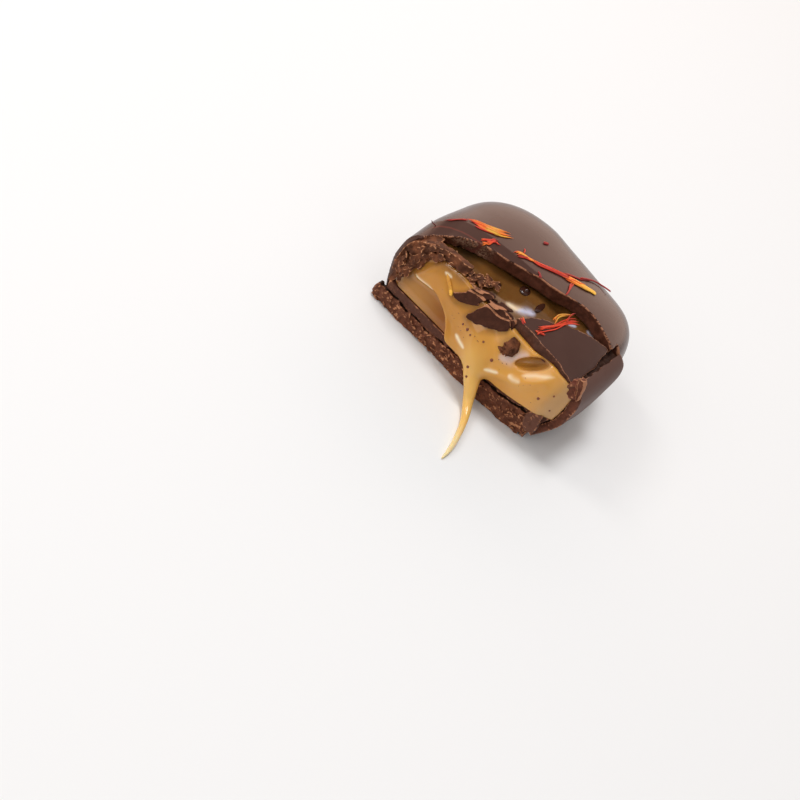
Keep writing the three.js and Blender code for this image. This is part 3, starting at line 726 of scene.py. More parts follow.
def make_top_plate():
    g = Grid([(1.6, 14.6, 0.095)], [(-13.4, -1.1, 0.095)], [(10.6, 15.6, 0.095)], seed=13)
    fine = g.rough(0.45, 3)
    under_z = g.z - PLATE_TAPER * (g.x - 8)
    under_shape = (WALL + PLATE_INSET, PLATE_SINK + PLATE_THICKNESS, plate_drop)
    lower = g.distance(form_level(g.x, g.y, under_z, *under_shape))
    outline = [*spline(PLATE_REAR, 6), (14.0, -2.0), (14.1, -12.7)]
    side = flat_distance(outline, g.x, g.y) + 0.06 * fine + 0.1 * g.noise(1.3)
    front = CUT_Y - 0.1 - g.y + 0.05 * fine + 0.12 * g.noise(0.9)
    body = np.maximum(form_distance(g, *PLATE_SHAPE), -lower + 0.06 * fine)
    body = carve(body, 0.05, side, front)
    points, quads = surface(g, body)
    gap = off_coat(points, *PLATE_SHAPE)
    points = onto_form(points, gap < 0.08, *PLATE_SHAPE)
    attributes = {"broken": smooth(0.04, 0.12, gap), "edge": edge_share(points, quads, 0.045)}
    return mesh_object("broken_plate", points, quads, attributes)


def leaning(y, z, rear_y, lean_degrees):
    """Coordinates (through, up) in a chip that leans back about its middle."""
    middle_y = (CHIP_FRONT_Y + rear_y) / 2
    lean = math.radians(lean_degrees)
    dy, dz = y - middle_y, z - CHIP_MIDDLE_Z
    through = middle_y + dy * math.cos(lean) - dz * math.sin(lean)
    return through, CHIP_MIDDLE_Z + dy * math.sin(lean) + dz * math.cos(lean)


def make_chip(name, outline, rear_y, lean_degrees, shards, seed):
    low_x, low_z = np.min(outline, axis=0)
    high_x, high_z = np.max(outline, axis=0)
    g = Grid(
        [(low_x - 0.9, high_x + 1.4, 0.08)],
        [(CHIP_FRONT_Y - 1.8, rear_y + 2.0, 0.08)],
        [(low_z - 1.0, high_z + 1.1, 0.08)],
        seed,
    )
    through, up = leaning(g.y, g.z, rear_y, lean_degrees)
    fine = g.rough(0.5, 3)
    side = flat_distance(spline(outline, 5, closed=True), g.x, up)
    facet = 0.3 * smooth(-0.2, 0.05, up - 11.4 - 0.4 * (g.x - outline[0][0]) + 0.5 * g.noise(1.5))
    front = CHIP_FRONT_Y + facet - through + 0.02 * fine + 0.1 * g.noise(1.8)
    rear = through - rear_y + 0.14 * fine
    body = cut(side + 0.07 * fine, cut(front, rear, 0.04), 0.04)
    for shard in shards:
        add_shard(g, body, *shard)
    points, quads = surface(g, body)
    _, facing_y, facing_z = point_normals(points, quads).T
    depth = leaning(points[:, 1], points[:, 2], rear_y, lean_degrees)[0] - CHIP_FRONT_Y
    crest = smooth(0.62, 0.4, depth) * smooth(0.15, 0.45, facing_z) * smooth(-0.88, -0.7, facing_y)
    edge = np.maximum(0.6 * edge_share(points, quads, 0.05), crest)
    return mesh_object(name, points, quads, {"broken": 0.9, "edge": edge})


# ---- base ----
def ledge_top(x):
    return LEDGE_HEIGHT + LEDGE_RISE * smooth(-4, 7, x) + LEDGE_END_RISE * smooth(6, 14, x)


def base_front(x):
    return SLAB_FRONT_Y + 1.0 * smooth(7, SLAB_RIGHT_X, x)


def crack_level(x):
    return SLAB_HEIGHT - 0.4 + 0.8 * smooth(-6, 1, x) + 0.75 * smooth(2, 11, x)


def crack_width(x):
    return 0.25 + 0.3 * smooth(2, 11, x)


def make_base():
    """Crumbly slab, the smooth ledge above its crack and the core under the caramel."""
    g = Grid(
        [(-16.6, 15.6, 0.12)],
        [(-15.2, -11.8, 0.1), (-11.8, 11.8, 0.5)],
        [(-0.2, 5.8, 0.1)],
        seed=14,
    )
    fine = g.rough(0.4, 3, 0.6)
    lumps = g.noise(1.1)
    under_top = g.z - ledge_top(g.x)
    core = overlap(form_distance(g, WALL + 0.3, ROOF), under_top, CUT_Y - 0.2 - g.y)
    front = base_front(g.x) - g.y + 0.08 * fine + 0.15 * lumps + 0.1 * smooth(1.2, 0, g.z)
    lip_rear = g.y - (CUT_Y - 0.3 + 0.9 * (np.abs(g.x) < 12.6))
    lip_ends = np.maximum(SLAB_LEFT_X - g.x, g.x - SLAB_RIGHT_X) + 0.12 * fine + 0.12 * lumps
    crack = crack_level(g.x) + 0.14 * g.noise(0.7) + 0.12 * lumps
    half_crack = crack_width(g.x) / 2
    lip = overlap(front, lip_rear, lip_ends, g.z - crack + half_crack + 0.1 * fine)
    ledge = overlap(
        np.maximum(LEDGE_FRONT_Y, base_front(g.x)) - g.y + 0.05 * fine + 0.06 * lumps,
        g.y - (CUT_Y + 0.6),
        np.maximum(-14.6 - g.x, g.x - 12.4) + 0.1 * fine,
        crack + half_crack - g.z + 0.05 * fine,
        under_top + 0.05 * lumps,
    )
    bridge = overlap(-12.6 - g.x, g.x - 12.2, CUT_Y + 0.1 - g.y, g.y - CUT_Y - 2, under_top)
    body = reduce(np.minimum, (core, bridge, lip, ledge))
    chip_room = np.maximum(flat_distance(BASE_CHIP, g.x, g.z) - 0.22, g.y - (CUT_Y - 0.2)) + 0.05 * lumps
    body = cut(body, -chip_room, 0.05)
    random = g.random
    for _ in range(150):
        x = random.uniform(-15.6, 13.4)
        z = random.uniform(0.1, 1.0) * (crack_level(x) - 0.15)
        y = base_front(x) + random.uniform(-0.08, 0.1)
        along = (1, 0, 0) + random.normal(0, 0.5, 3)
        normal = (0, -1, 0.3) + random.normal(0, 0.6, 3)
        add_random_shard(g, body, (x, y, z), along, normal, (0.35, 1.2), (0.2, 0.45), (0.15, 0.3), 0.3, 0.02)
    body = np.maximum(body, -g.z)
    points, quads = surface(g, body)
    points[:, 2] = np.maximum(points[:, 2], 0)
    x, y, z = points.T
    off_crack = np.abs(z - g.sample(crack, points)[0]) - crack_width(x) / 2
    # Painted shadow inside the crack between the slab and the ledge.
    painted_crack_shadow = smooth(base_front(x) + 0.12, base_front(x) + 0.3, y) * smooth(0.25, 0.05, off_crack)
    attributes = {
        "smooth_layer": smooth(0.05, 0.35, z - crack_level(x)),
        "edge": edge_share(points, quads, 0.05) * (1 - painted_crack_shadow),
        "painted_shadow": painted_crack_shadow,
    }
    return mesh_object("crumb_base", points, quads, attributes)


def make_base_chip():
    g = Grid([(11.6, 15.3, 0.08)], [(-14.8, -12.3, 0.08)], [(2.3, 6.8, 0.08)], seed=15)
    fine = g.rough(0.4, 3)
    side = flat_distance(BASE_CHIP, g.x, g.z) + 0.07 * fine
    through = np.abs(g.y + 13.5 - 0.15 * (g.z - 4.5)) - 0.72 + 0.05 * fine + 0.1 * g.noise(1.4)
    points, quads = surface(g, cut(side, through, 0.08))
    attributes = {"smooth_layer": 0.6, "edge": edge_share(points, quads, 0.045), "chip": 1.0}
    return mesh_object("base_chip_piece", points, quads, attributes)


# ---- caramel ----
def bulge(x, z):
    """How far the caramel stands out of the cut plane."""
    edge = np.interp(x, FLOW_EDGE_X, FLOW_EDGE_Z)
    sides = smooth(-13.6, -12.0, x - 0.5 * np.maximum(0, z - 8)) * (1 - smooth(12.5, 15.6, x))
    rise = 0.6 + 0.5 * smooth(-7, -11, x)
    flow = 1.5 * sides * smooth(edge + 0.3 - rise, edge + 0.3 + rise, z) * (1 - smooth(9, 14.8, z))
    lip = 0.25 * smooth(-13, -11.5, x) * smooth(-2, -4, x) * np.exp(-((z - edge - 0.75) / 0.6) ** 2)
    ridge = 0.4 * np.exp(-(line_distance(RIGHT_RIDGE, x, z) / 0.9) ** 2)
    column = 0.35 * np.exp(-(line_distance(COLUMN, x, z) / 1.5) ** 2)
    lobe = 0.8 * hill(x, z, 9, 7.6, 6, 3)
    root = 1.3 * hill(x, z, 1.6, 6, 3.2, 3)
    foot = 0.95 * smooth(7.5, 4.5, z) * smooth(2, -3, x) * smooth(-15.2, -13.2, x)
    return 0.1 + flow + lip + ridge + column + lobe + root + foot


def soft_line(line, width, u, v):
    """A soft-edged stroke along a line that thins out to both ends."""
    line = np.array(line)
    middle = (line[0] + line[-1]) / 2
    half = np.hypot(*(line[-1] - line[0])) / 2 + width
    along = np.hypot(u - middle[0], v - middle[1]) / half
    thick = width * np.clip(1.1 - along ** 3, 0.05, 1)
    return np.exp(-(line_distance(line, u, v) / thick) ** 2) * smooth(1.05, 0.6, along)


def pool_level(x, y):
    in_pool = smooth(-16, -11, y) * (1 - smooth(-1.5, 3, y))
    wave = 0.25 * np.sin(0.7 * x + 0.5) + 0.15 * np.sin(1.1 * y)
    return (HEIGHT - ROOF) * (1 - in_pool) + (POOL_Z - 0.3 + wave) * in_pool


def pit_level(x, y, z):
    """Field of the lens-shaped hole under the plate's front edge, about in millimetres."""
    c, s = math.cos(PIT_TURN), math.sin(PIT_TURN)
    dx, dy, dz = x - PIT[0], y - PIT[1], z - PIT[2]
    u, w = c * dx + s * dz, c * dz - s * dx
    return ellipsoid(u / PIT_RADII[0], dy / PIT_RADII[1], w / PIT_RADII[2]) * 0.85


def tube_field(grid, path, radii, reach):
    """Distance to a round tube along a path, worked out only near it."""
    out = grid.full(3.0)
    for p, q, r0, r1 in zip(path[:-1], path[1:], radii[:-1], radii[1:]):
        window, (x, y, z) = grid.near(np.minimum(p, q) - reach, np.maximum(p, q) + reach, p)
        d = q - p
        t = np.clip((x * d[0] + y * d[1] + z * d[2]) / d.dot(d), 0, 1)
        gap = np.sqrt((x - t * d[0]) ** 2 + (y - t * d[1]) ** 2 + (z - t * d[2]) ** 2)
        out[window] = np.minimum(out[window], gap - (r0 + (r1 - r0) * t))
    return out


def make_caramel():
    g = Grid(
        [(-15.8, 15.8, 0.17)],
        [(-28.8, -16.5, 0.2), (-16.5, -9.0, 0.13), (-9.0, 0.0, 0.22), (0.0, 12.0, 0.5)],
        [(-0.3, 13.6, 0.15)],
        seed=16,
    )
    core = form_distance(g, WALL + 0.25, ROOF + 0.2)
    front_limit = np.maximum(g.y - (CUT_Y + 1), np.abs(g.x - 0.9) - 14.4)
    body = join(core, front_limit, 0.6)
    front = (CUT_Y - bulge(g.x, g.z)) - g.y
    body = carve(body, 0.35, front * 0.8, g.z - pool_level(g.x, g.y))
    body = cut(body, ledge_top(g.x) + 0.04 - g.z, 0.15)
    ledge_room = overlap(12.65 - g.x, 11.0 - g.z, -12.0 - g.y)
    body = carve(body, 0.2, -ledge_room, -pit_level(g.x, g.y, g.z))
    path = spline(STRAND, 8)
    body = join(body, tube_field(g, path[:, :3], path[:, 3], 2.9), 1.1)
    body = np.maximum(body, 0.03 - g.z)
    slab_room = overlap(base_front(g.x) - 0.35 - g.y, g.z - SLAB_HEIGHT - 0.2, np.abs(g.x + 0.8) - 15.4)
    body = cut(body, -slab_room, 0.2)
    points, quads = surface(g, body)
    points = relax(points, quads, 2, 0.5)
    points[:, 2] = np.maximum(points[:, 2], 0.02)
    return mesh_object("caramel_filling", points, quads, caramel_attributes(*points.T)), points


def caramel_attributes(x, y, z):
    """Where the caramel is discoloured, hollow, pale or drawn thin, and where painted shade, shadow,
    highlights and reflections lie on it.
    """
    ahead = y < -12
    in_pool = z > POOL_EDGE_Z
    chip_gap = np.minimum(flat_distance(CHIP_LEFT, x, z), flat_distance(CHIP_RIGHT, x, z))
    chunk_gap = np.hypot((x - CHUNK_MIDDLE[0]) / 1.3, z - CHUNK_MIDDLE[1])
    # Darker brown near the crust, the chips and the chunk: partly real brown discolouring, partly painted
    # shade under them.
    stain_and_shade = overlap(
        smooth(2.2, 0.1, flat_distance(CRUST, x, z)),
        0.55 * smooth(0.9, 0.0, chip_gap),
        0.6 * smooth(2.0, 0.6, chunk_gap),
    )
    # Painted shade in the hollow below the flow's edge, darker towards the overhang.
    painted_hollow_shade = smooth(0.3, -0.4, z - np.interp(x, FLOW_EDGE_X, FLOW_EDGE_Z)) * smooth(-2.0, -3.2, x)
    # Painted highlights along the ridges on the caramel's front.
    painted_highlight = sum(soft_line(line, width, x, z) for line, width in FRONT_PAINTED_HIGHLIGHTS) * ahead
    # Painted glints where the pool would reflect light.
    painted_glint = sum(soft_line(line, width, x, y) for line, width in POOL_PAINTED_GLINTS) * in_pool
    pit = pit_level(x, y, z)
    return {
        # Painted shade over the pool under the roof, and a painted shadow at the pool's left end.
        "pool_in_shade": smooth(-12.8, -11.6, y) * smooth(11.2, 12.3, z),
        "stain_and_shade": stain_and_shade * (y < -11),
        # The pit is darker amber: partly the caramel's own deeper colour, partly painted shade in the hollow.
        "pit": smooth(0.25, -0.1, pit) * smooth(5.6, 9.0, x),
        "painted_hollow_shade": painted_hollow_shade,
        "painted_overhang_shade": painted_hollow_shade * smooth(-10.5, -5.0, x),
        "painted_highlight": painted_highlight * (1 - 0.4 * smooth(6.0, 8.0, x)),
        "painted_glint": painted_glint,
        # Where the painted glints turn bluish.
        "bluish_glint_side": smooth(0.8, 1.6, x),
        "painted_pool_shadow": smooth(-6.5, -9.5, x) * smooth(-9.0, -7.0, y - 0.5 * x) * in_pool,
        "painted_violet_reflection": soft_line(PAINTED_REFLECTION_LINE, 0.75, x, z) * ahead * smooth(-0.1, 0.3, pit),
        "left": smooth(3.0, -2.0, x),
        "pale_end": smooth(10.5, 14.5, x) * (y < -11),
        "strand": smooth(-14.6, -17.5, y),
        "thin": smooth(-18, -27, y),
    }


# ---- small loose parts ----
def front_point(points, x, z):
    """The foremost point of the surface near (x, z)."""
    return points[(20 * np.hypot(points[:, 0] - x, points[:, 2] - z) + points[:, 1]).argmin()]


def make_crumbs(caramel_points):
    """Shards and crumbs that lie on the caramel."""
    g = Grid([(-8.6, 7.4, 0.09)], [(-15.2, -3.2, 0.1)], [(8.6, 14.2, 0.09)], seed=18)
    body = g.full(1.0)
    random = g.random
    heap_left, heap_right = np.array([(-7.0, -12.0, 13.0), (-4.3, -9.6, 12.9)])
    for _ in range(34):
        t = random.random()
        place = heap_left * (1 - t) + heap_right * t + random.normal(0, 1, 3) * (0.5, 0.6, 0.12)
        along = (1, 0.3, 0.1) + random.normal(0, 0.6, 3)
        normal = (0, -0.2, 1) + random.normal(0, 0.3, 3)
        add_random_shard(g, body, place, along, normal, (0.7, 1.7), (0.45, 0.95), (0.18, 0.3), 0.3)
    add_shard(g, body, (-4.1, -9.9, 13.0), (1, 2.6, 0.1), (0.1, 0, 1), 3.0, 0.9, 0.3, 0.05, 1.0)
    add_shard(g, body, (-5.8, -11.3, 13.1), (1, 2.2, 0.2), (-0.3, 0, 1), 2.6, 0.8, 0.28, 0.08, 2.4)
    near = front_point(caramel_points, *CHUNK_MIDDLE)[1]
    chunk = flat_distance(CHUNK, g.x, g.z) + 0.16 * g.rough(0.6, 3)
    chunk = np.maximum(chunk, np.abs(g.y - near) - 0.45 + 0.2 * g.rough(0.8, 3))
    body = np.minimum(body, chunk)
    corners = np.array(CHUNK)
    for _ in range(46):
        weights = random.dirichlet(np.ones(len(corners)))
        x, z = weights @ corners * 0.65 + corners[random.integers(0, len(corners))] * 0.35
        place = (x, near - random.uniform(0.25, 0.6), z)
        along = random.normal(0, 1, 3)
        normal = (0, -0.7, 0) + random.normal(0, 0.8, 3)
        add_random_shard(g, body, place, along, normal, (0.5, 1.0), (0.35, 0.6), (0.14, 0.24), 0.5, 0.02)
    points, quads = surface(g, body, 12)
    edge = edge_share(points, quads, 0.05) * (1 - 0.6 * smooth(1.0, 2.0, points[:, 0]))
    return mesh_object("loose_shards", points, quads, {"broken": 1.0, "edge": edge})


def ring_quads(rings, sides):
    """Quads between rings of points, one ring after another."""
    start, j = np.meshgrid(np.arange(rings - 1) * sides, np.arange(sides), indexing="ij")
    k = (j + 1) % sides
    return np.stack([start + j, start + k, start + sides + k, start + sides + j], -1).reshape(-1, 4)


def sphere(centre, radii, rings=8, sides=12):
    down = np.pi * np.arange(rings + 1)[:, None] / rings
    turn = 2 * np.pi * np.arange(sides) / sides
    points = np.sin(down) * np.cos(turn), np.sin(down) * np.sin(turn), np.cos(down) + 0 * turn
    points = np.stack(points, -1).reshape(-1, 3) * radii + centre
    return points, ring_quads(rings + 1, sides)[:, [0, 3, 2, 1]]


def merged(parts):
    points, quads, start = [], [], 0
    for p, q in parts:
        points.append(p)
        quads.append(q + start)
        start += len(p)
    return np.concatenate(points), np.concatenate(quads)


def make_specks(caramel_points):
    """Small round chocolate specks set in the caramel."""
    draw = np.random.default_rng(31).uniform
    parts = []
    for x, z in DOTS:
        size = draw(0.14, 0.24)
        parts.append(sphere(front_point(caramel_points, x, z), (size, size * 0.8, size * 1.1)))
    for _ in range(26):
        place = front_point(caramel_points, draw(-9, 12), draw(6.5, 10))
        parts.append(sphere(place, np.full(3, draw(0.04, 0.08)), 5, 8))
    return mesh_object("caramel_specks", *merged(parts))


def make_pool_blobs(caramel_points):
    """Smooth dark chocolate drops that float in the pool."""
    pool = caramel_points[(caramel_points[:, 1] > -8) & (caramel_points[:, 2] > POOL_EDGE_Z)]
    parts = []
    for x, y, *radii in POOL_DROPS:
        height = pool[np.hypot(pool[:, 0] - x, pool[:, 1] - y).argmin(), 2]
        parts.append(sphere((x, y, height), radii, 10, 18))
    return mesh_object("pool_blobs", *merged(parts))


# ---- dried petal threads ----
def filament(path, half_width, half_height, side, tip):
    """Closed strip of oval section along a path, tapering to both ends."""
    path = np.array(path, float)
    count = len(path)
    tangent = unit(np.gradient(path, axis=0))
    up = unit(np.cross(tangent, np.cross(side, tangent)))
    across = np.cross(tangent, up)
    share = np.linspace(0, 1, count)
    taper = smooth(0, tip, share + 0.04) * smooth(1, 1 - tip, share - 0.04) + 0.02
    angle = 2 * np.pi * np.arange(THREAD_SIDES) / THREAD_SIDES
    ring = (across[:, None] * (np.cos(angle) * half_width)[None, :, None]
            + up[:, None] * (np.sin(angle) * half_height)[None, :, None]) * taper[:, None, None]
    points = (path[:, None] + ring).reshape(-1, 3)
    caps = []
    for base, order in ((0, 1), ((count - 1) * THREAD_SIDES, -1)):
        loop = base + np.arange(THREAD_SIDES)[::order][::-1]
        for m in range(0, THREAD_SIDES - 2, 2):
            caps.append((loop[0], loop[m + 1], loop[m + 2], loop[(m + 3) % THREAD_SIDES]))
    quads = np.concatenate([ring_quads(count, THREAD_SIDES), caps])
    return points, quads, np.repeat(share, THREAD_SIDES)


class Petals:
    """Threads in one mesh, each point with its hue (0 red, 1 yellow) and shade.

    Bundles lie on top of the coated form that `shape` describes.
    """

    def __init__(self, seed, *shape):
        self.random = np.random.default_rng(seed)
        self.shape = shape
        self.parts, self.hue, self.shade = [], [], []

    def add(self, path, half_width, half_height, hue, shade=0.0, side=(0, 0, 1), tip=0.25):
        points, quads, share = filament(path, half_width, half_height, side, tip)
        self.parts.append((points, quads))
        self.hue.append(np.interp(share, np.linspace(0, 1, len(hue)), hue))
        self.shade.append(np.full(len(points), shade))

    def resting(self, flat, lift):
        """A path over (x, y) places, `lift` above the form."""
        return np.column_stack([flat, top_height(*flat.T, *self.shape) + lift])

    def bundle(self, line, width, count, hue, lift=0.11, wander=0.1, spread=(1, 1)):
        """Threads side by side along a line of (x, y); spread widens or narrows them on the way."""
        line = spline(line, 10)
        tangent = unit(np.gradient(line, axis=0))
        across = np.stack([-tangent[:, 1], tangent[:, 0]], 1)
        share = np.linspace(0, 1, len(line))
        fan = np.interp(share, np.linspace(0, 1, len(spread)), spread)
        draw = self.random.uniform
        for i in range(count):
            offset = ((i + 0.5) / count - 0.5) * width
            start = int(draw(0, 0.18) * len(line))
            end = len(line) - int(draw(0, 0.2) * len(line))
            wave = wander * np.sin(share * draw(4, 9) + draw(0, 6))
            flat = line + across * (offset * fan + wave)[:, None]
            path = self.resting(flat[start:end], lift * draw(0.6, 1.6) + 0.05 * wave[start:end])
            mix = np.clip(np.array(hue) + self.random.normal(0, 0.1), 0, 1)
            self.add(path, width / count * 0.66, draw(0.06, 0.1), mix, draw(0, 0.3))

    def finish(self, name):
        looks = {"hue": np.concatenate(self.hue), "shade": np.concatenate(self.shade)}
        return mesh_object(name, *merged(self.parts), looks)


def make_shell_petals():
    p = Petals(41)
    p.bundle([(-15.3, -7.6), (-14.5, -6.8), (-13.5, -5.4), (-12.8, -4.6)], 0.22, 2, [0.0, 0.05, 0.2])
    p.bundle([(-13.3, -4.9), (-12.0, -4.3), (-10.8, -3.8), (-9.5, -3.2), (-8.3, -2.3), (-7.2, -1.0)], 1.55, 8,
             [0.25, 0.55, 0.6, 0.9, 0.75, 0.5], spread=[0.12, 0.75, 1.0, 1.0, 0.75])
    p.bundle([(-10.8, -4.3), (-9.4, -3.8), (-8.0, -2.8)], 0.7, 4, [0.7, 1.0, 1.0, 0.8], lift=0.2)
    p.bundle([(-12.4, -5.1), (-10.5, -4.8), (-8.4, -3.4)], 0.25, 1, [0.1, 0.15])
    p.bundle([(-9.2, -7.3), (-8.7, -5.9), (-7.8, -4.1)], 0.85, 5, [0.5, 0.35, 0.1], wander=0.22)
    p.bundle([(-9.0, -6.5), (-8.2, -5.4), (-7.3, -4.7)], 0.3, 2, [0.45, 0.2], wander=0.15)
    p.bundle([(-5.1, -4.6), (-4.6, -3.0), (-3.1, -2.2), (-2.4, -1.5)], 0.55, 3, [0.45, 0.95, 0.9, 0.5])
    p.bundle([(-4.6, -3.9), (-3.6, -2.9), (-2.4, -2.2)], 0.3, 2, [0.1, 0.25])
    p.bundle([(-3.0, -2.1), (-1.5, -1.3), (0.2, -0.1), (1.9, 1.2), (3.4, 2.8)], 0.95, 6,
             [0.45, 0.2, 0.15, 0.15, 0.3], spread=[0.3, 0.9, 1.0, 0.8, 0.5])
    p.bundle([(0.1, 0.3), (2.4, 2.7), (3.8, 4.0), (4.5, 5.6), (5.2, 6.8)], 0.3, 2, [0.1, 0.05, 0.05])
    p.bundle([(1.6, 0.6), (3.0, 1.5), (4.8, 2.7), (6.9, 4.3)], 0.95, 6, [0.4, 0.55, 0.9, 1.0],
             spread=[0.3, 0.8, 1, 0.9])
    p.bundle([(2.6, 1.5), (3.8, 2.6), (4.9, 3.7)], 0.45, 3, [0.35, 0.45, 0.3], lift=0.18)
    p.bundle([(3.5, 1.4), (3.7, 0.4), (4.0, -1.0), (4.3, -2.6)], 0.4, 2, [0.35, 0.15])
    p.bundle([(-4.8, -1.0), (-4.5, -1.7), (-4.1, -2.5)], 0.18, 1, [0.3, 0.3])
    p.bundle([(-3.2, -2.4), (-3.9, -3.0), (-4.3, -3.9)], 0.2, 1, [0.05, 0.1])
    p.bundle([(-0.8, -2.8), (-0.4, -3.4), (0.0, -4.0)], 0.34, 2, [0.1, 0.15])
    p.bundle([(-3.9, 3.7), (-3.5, 4.2), (-3.1, 4.6)], 0.45, 3, [0.0, 0.0], wander=0.03)
    tail = spline([(3.6, 4.1), (4.4, 5.6), (5.3, 7.1), (6.3, 8.2), (7.1, 8.5), (7.9, 8.7)], 8)
    lift = np.interp(tail[:, 0], (3.6, 6.3, 7.9), (0.2, 0.25, 0.6))
    p.add(p.resting(tail, lift), 0.15, 0.1, [0.08, 0.03, 0.03], 0.1, tip=0.08)
    blade = spline([(2.5, 1.6), (3.9, 2.5), (5.3, 3.3), (6.8, 4.2)], 8)
    p.add(p.resting(blade, 0.16), 0.42, 0.08, [0.6, 0.85, 0.95, 1.0], tip=0.08)
    hair = spline([(-15.3, -9.0, 12.85), (-15.6, -9.2, 13.1), (-15.95, -9.35, 13.15), (-16.3, -9.5, 13.5)], 8)
    p.add(hair, 0.08, 0.08, [0.0, 0.0], 0.9)
    return p.finish("petals_on_shell")


def make_plate_petals():
    p = Petals(42, *PLATE_SHAPE)
    p.bundle([(2.5, -12.2), (2.9, -12.6), (3.6, -12.7)], 0.35, 2, [0.35, 0.2], lift=0.3)
    p.bundle([(5.3, -12.2), (5.7, -11.6), (6.2, -10.9)], 0.55, 3, [0.4, 0.3], wander=0.14)
    p.bundle([(4.8, -11.7), (5.5, -11.0), (5.8, -9.8), (6.4, -8.3), (7.0, -6.2), (7.8, -4.5), (8.4, -3.7)],
             0.85, 6, [0.35, 0.25, 0.3, 0.3, 0.2, 0.3], wander=0.2)
    p.bundle([(6.0, -8.6), (5.7, -7.0), (6.2, -5.6), (6.9, -4.4)], 0.45, 3, [0.6, 0.95, 0.95, 0.7], lift=0.4)
    p.bundle([(7.0, -6.4), (6.8, -4.6), (7.0, -3.1)], 0.28, 2, [0.25, 0.1], lift=0.3)
    return p.finish("petals_on_plate")


def make_caramel_petal(caramel_points):
    p = Petals(43)
    line = [front_point(caramel_points, x, z) for x, z in PETAL_STICK]
    line = spline(np.array(line) + (0, -0.12, 0.1), 8)
    p.add(line, 0.26, 0.1, [0.9, 0.86, 0.9, 1.0], 0.35, side=(0, -1, 0.4))
    p.add(line[-9:] + (0, -0.06, 0.03), 0.24, 0.1, [1.0, 1.0], side=(0, -1, 0.4))
    return p.finish("petal_on_caramel")


# ---- materials ----
SHINE = (1.0, 0.70, 0.56)  # cocoa butter reflects warm
INNER_CHOCOLATE = ((0.080, 0.024, 0.013), (0.150, 0.049, 0.028))
PALE_EDGE = (0.45, 0.19, 0.10)


class Paint:
    """A principled material with short names for the nodes used here; sizes are in millimetres."""

    def __init__(self, name, colour=None):
        self.material = bpy.data.materials.new(name)
        self.material.use_nodes = True
        self.tree = self.material.node_tree
        self.shader = self.tree.nodes["Principled BSDF"]
        self.spot = self.tree.nodes.new("ShaderNodeTexCoord").outputs["Object"]
        self.colour = colour

    def put(self, socket, value):
        if isinstance(value, bpy.types.NodeSocket):
            self.tree.links.new(value, socket)
        elif isinstance(value, tuple) and len(value) == 3 and socket.type == "RGBA":
            socket.default_value = (*value, 1)
        else:
            socket.default_value = value

    def wire(self, node, inputs):
        """Fills a node's inputs and returns its outputs."""
        for key, value in inputs.items():
            self.put(node.inputs[key], value)
        return node.outputs

    def attribute(self, key):
        node = self.tree.nodes.new("ShaderNodeAttribute")
        node.attribute_name = key
        return node.outputs["Fac"]

    def noise(self, size, detail=2.0, rough=0.55, stretch=(1, 1, 1)):
        scale = [1 / (s * size * MM) for s in stretch]
        mapping = self.tree.nodes.new("ShaderNodeMapping")
        place = self.wire(mapping, {"Vector": self.spot, "Scale": scale})["Vector"]
        inputs = {"Vector": place, "Scale": 1.0, "Detail": detail, "Roughness": rough}
        return self.wire(self.tree.nodes.new("ShaderNodeTexNoise"), inputs)["Fac"]

    def math(self, operation, a, b):
        node = self.tree.nodes.new("ShaderNodeMath")
        node.operation = operation
        node.use_clamp = True
        return self.wire(node, {0: a, 1: b})[0]

    def times(self, a, b):
        return self.math("MULTIPLY", a, b)

    def ramp(self, value, low, high, out_low=0.0, out_high=1.0):
        node = self.tree.nodes.new("ShaderNodeMapRange")
        node.interpolation_type = "SMOOTHSTEP"
        limits = {"From Min": low, "From Max": high, "To Min": out_low, "To Max": out_high}
        return self.wire(node, {"Value": value, **limits})["Result"]

    def blend(self, share, a, b):
        node = self.tree.nodes.new("ShaderNodeMix")
        node.data_type = "RGBA"
        return self.wire(node, {"Factor": share, 6: a, 7: b})[2]

    def cover(self, share, colour, strength=1.0):
        """Lays a colour over those so far; share is a socket or an attribute's name."""
        if isinstance(share, str):
            share = self.attribute(share)
        if strength < 1:
            share = self.times(share, strength)
        self.colour = self.blend(share, self.colour, colour)

    def bump(self, height, depth):
        node = self.tree.nodes.new("ShaderNodeBump")
        outputs = self.wire(node, {"Strength": 1.0, "Distance": depth * MM, "Height": height})
        self.put(self.shader.inputs["Normal"], outputs["Normal"])

    def finish(self, **inputs):
        """The material, in the colour so far and with the shader's other inputs set."""
        self.put(self.shader.inputs["Base Color"], self.colour)
        for key, value in inputs.items():
            self.put(self.shader.inputs[key.replace("_", " ")], value)
        return self.material


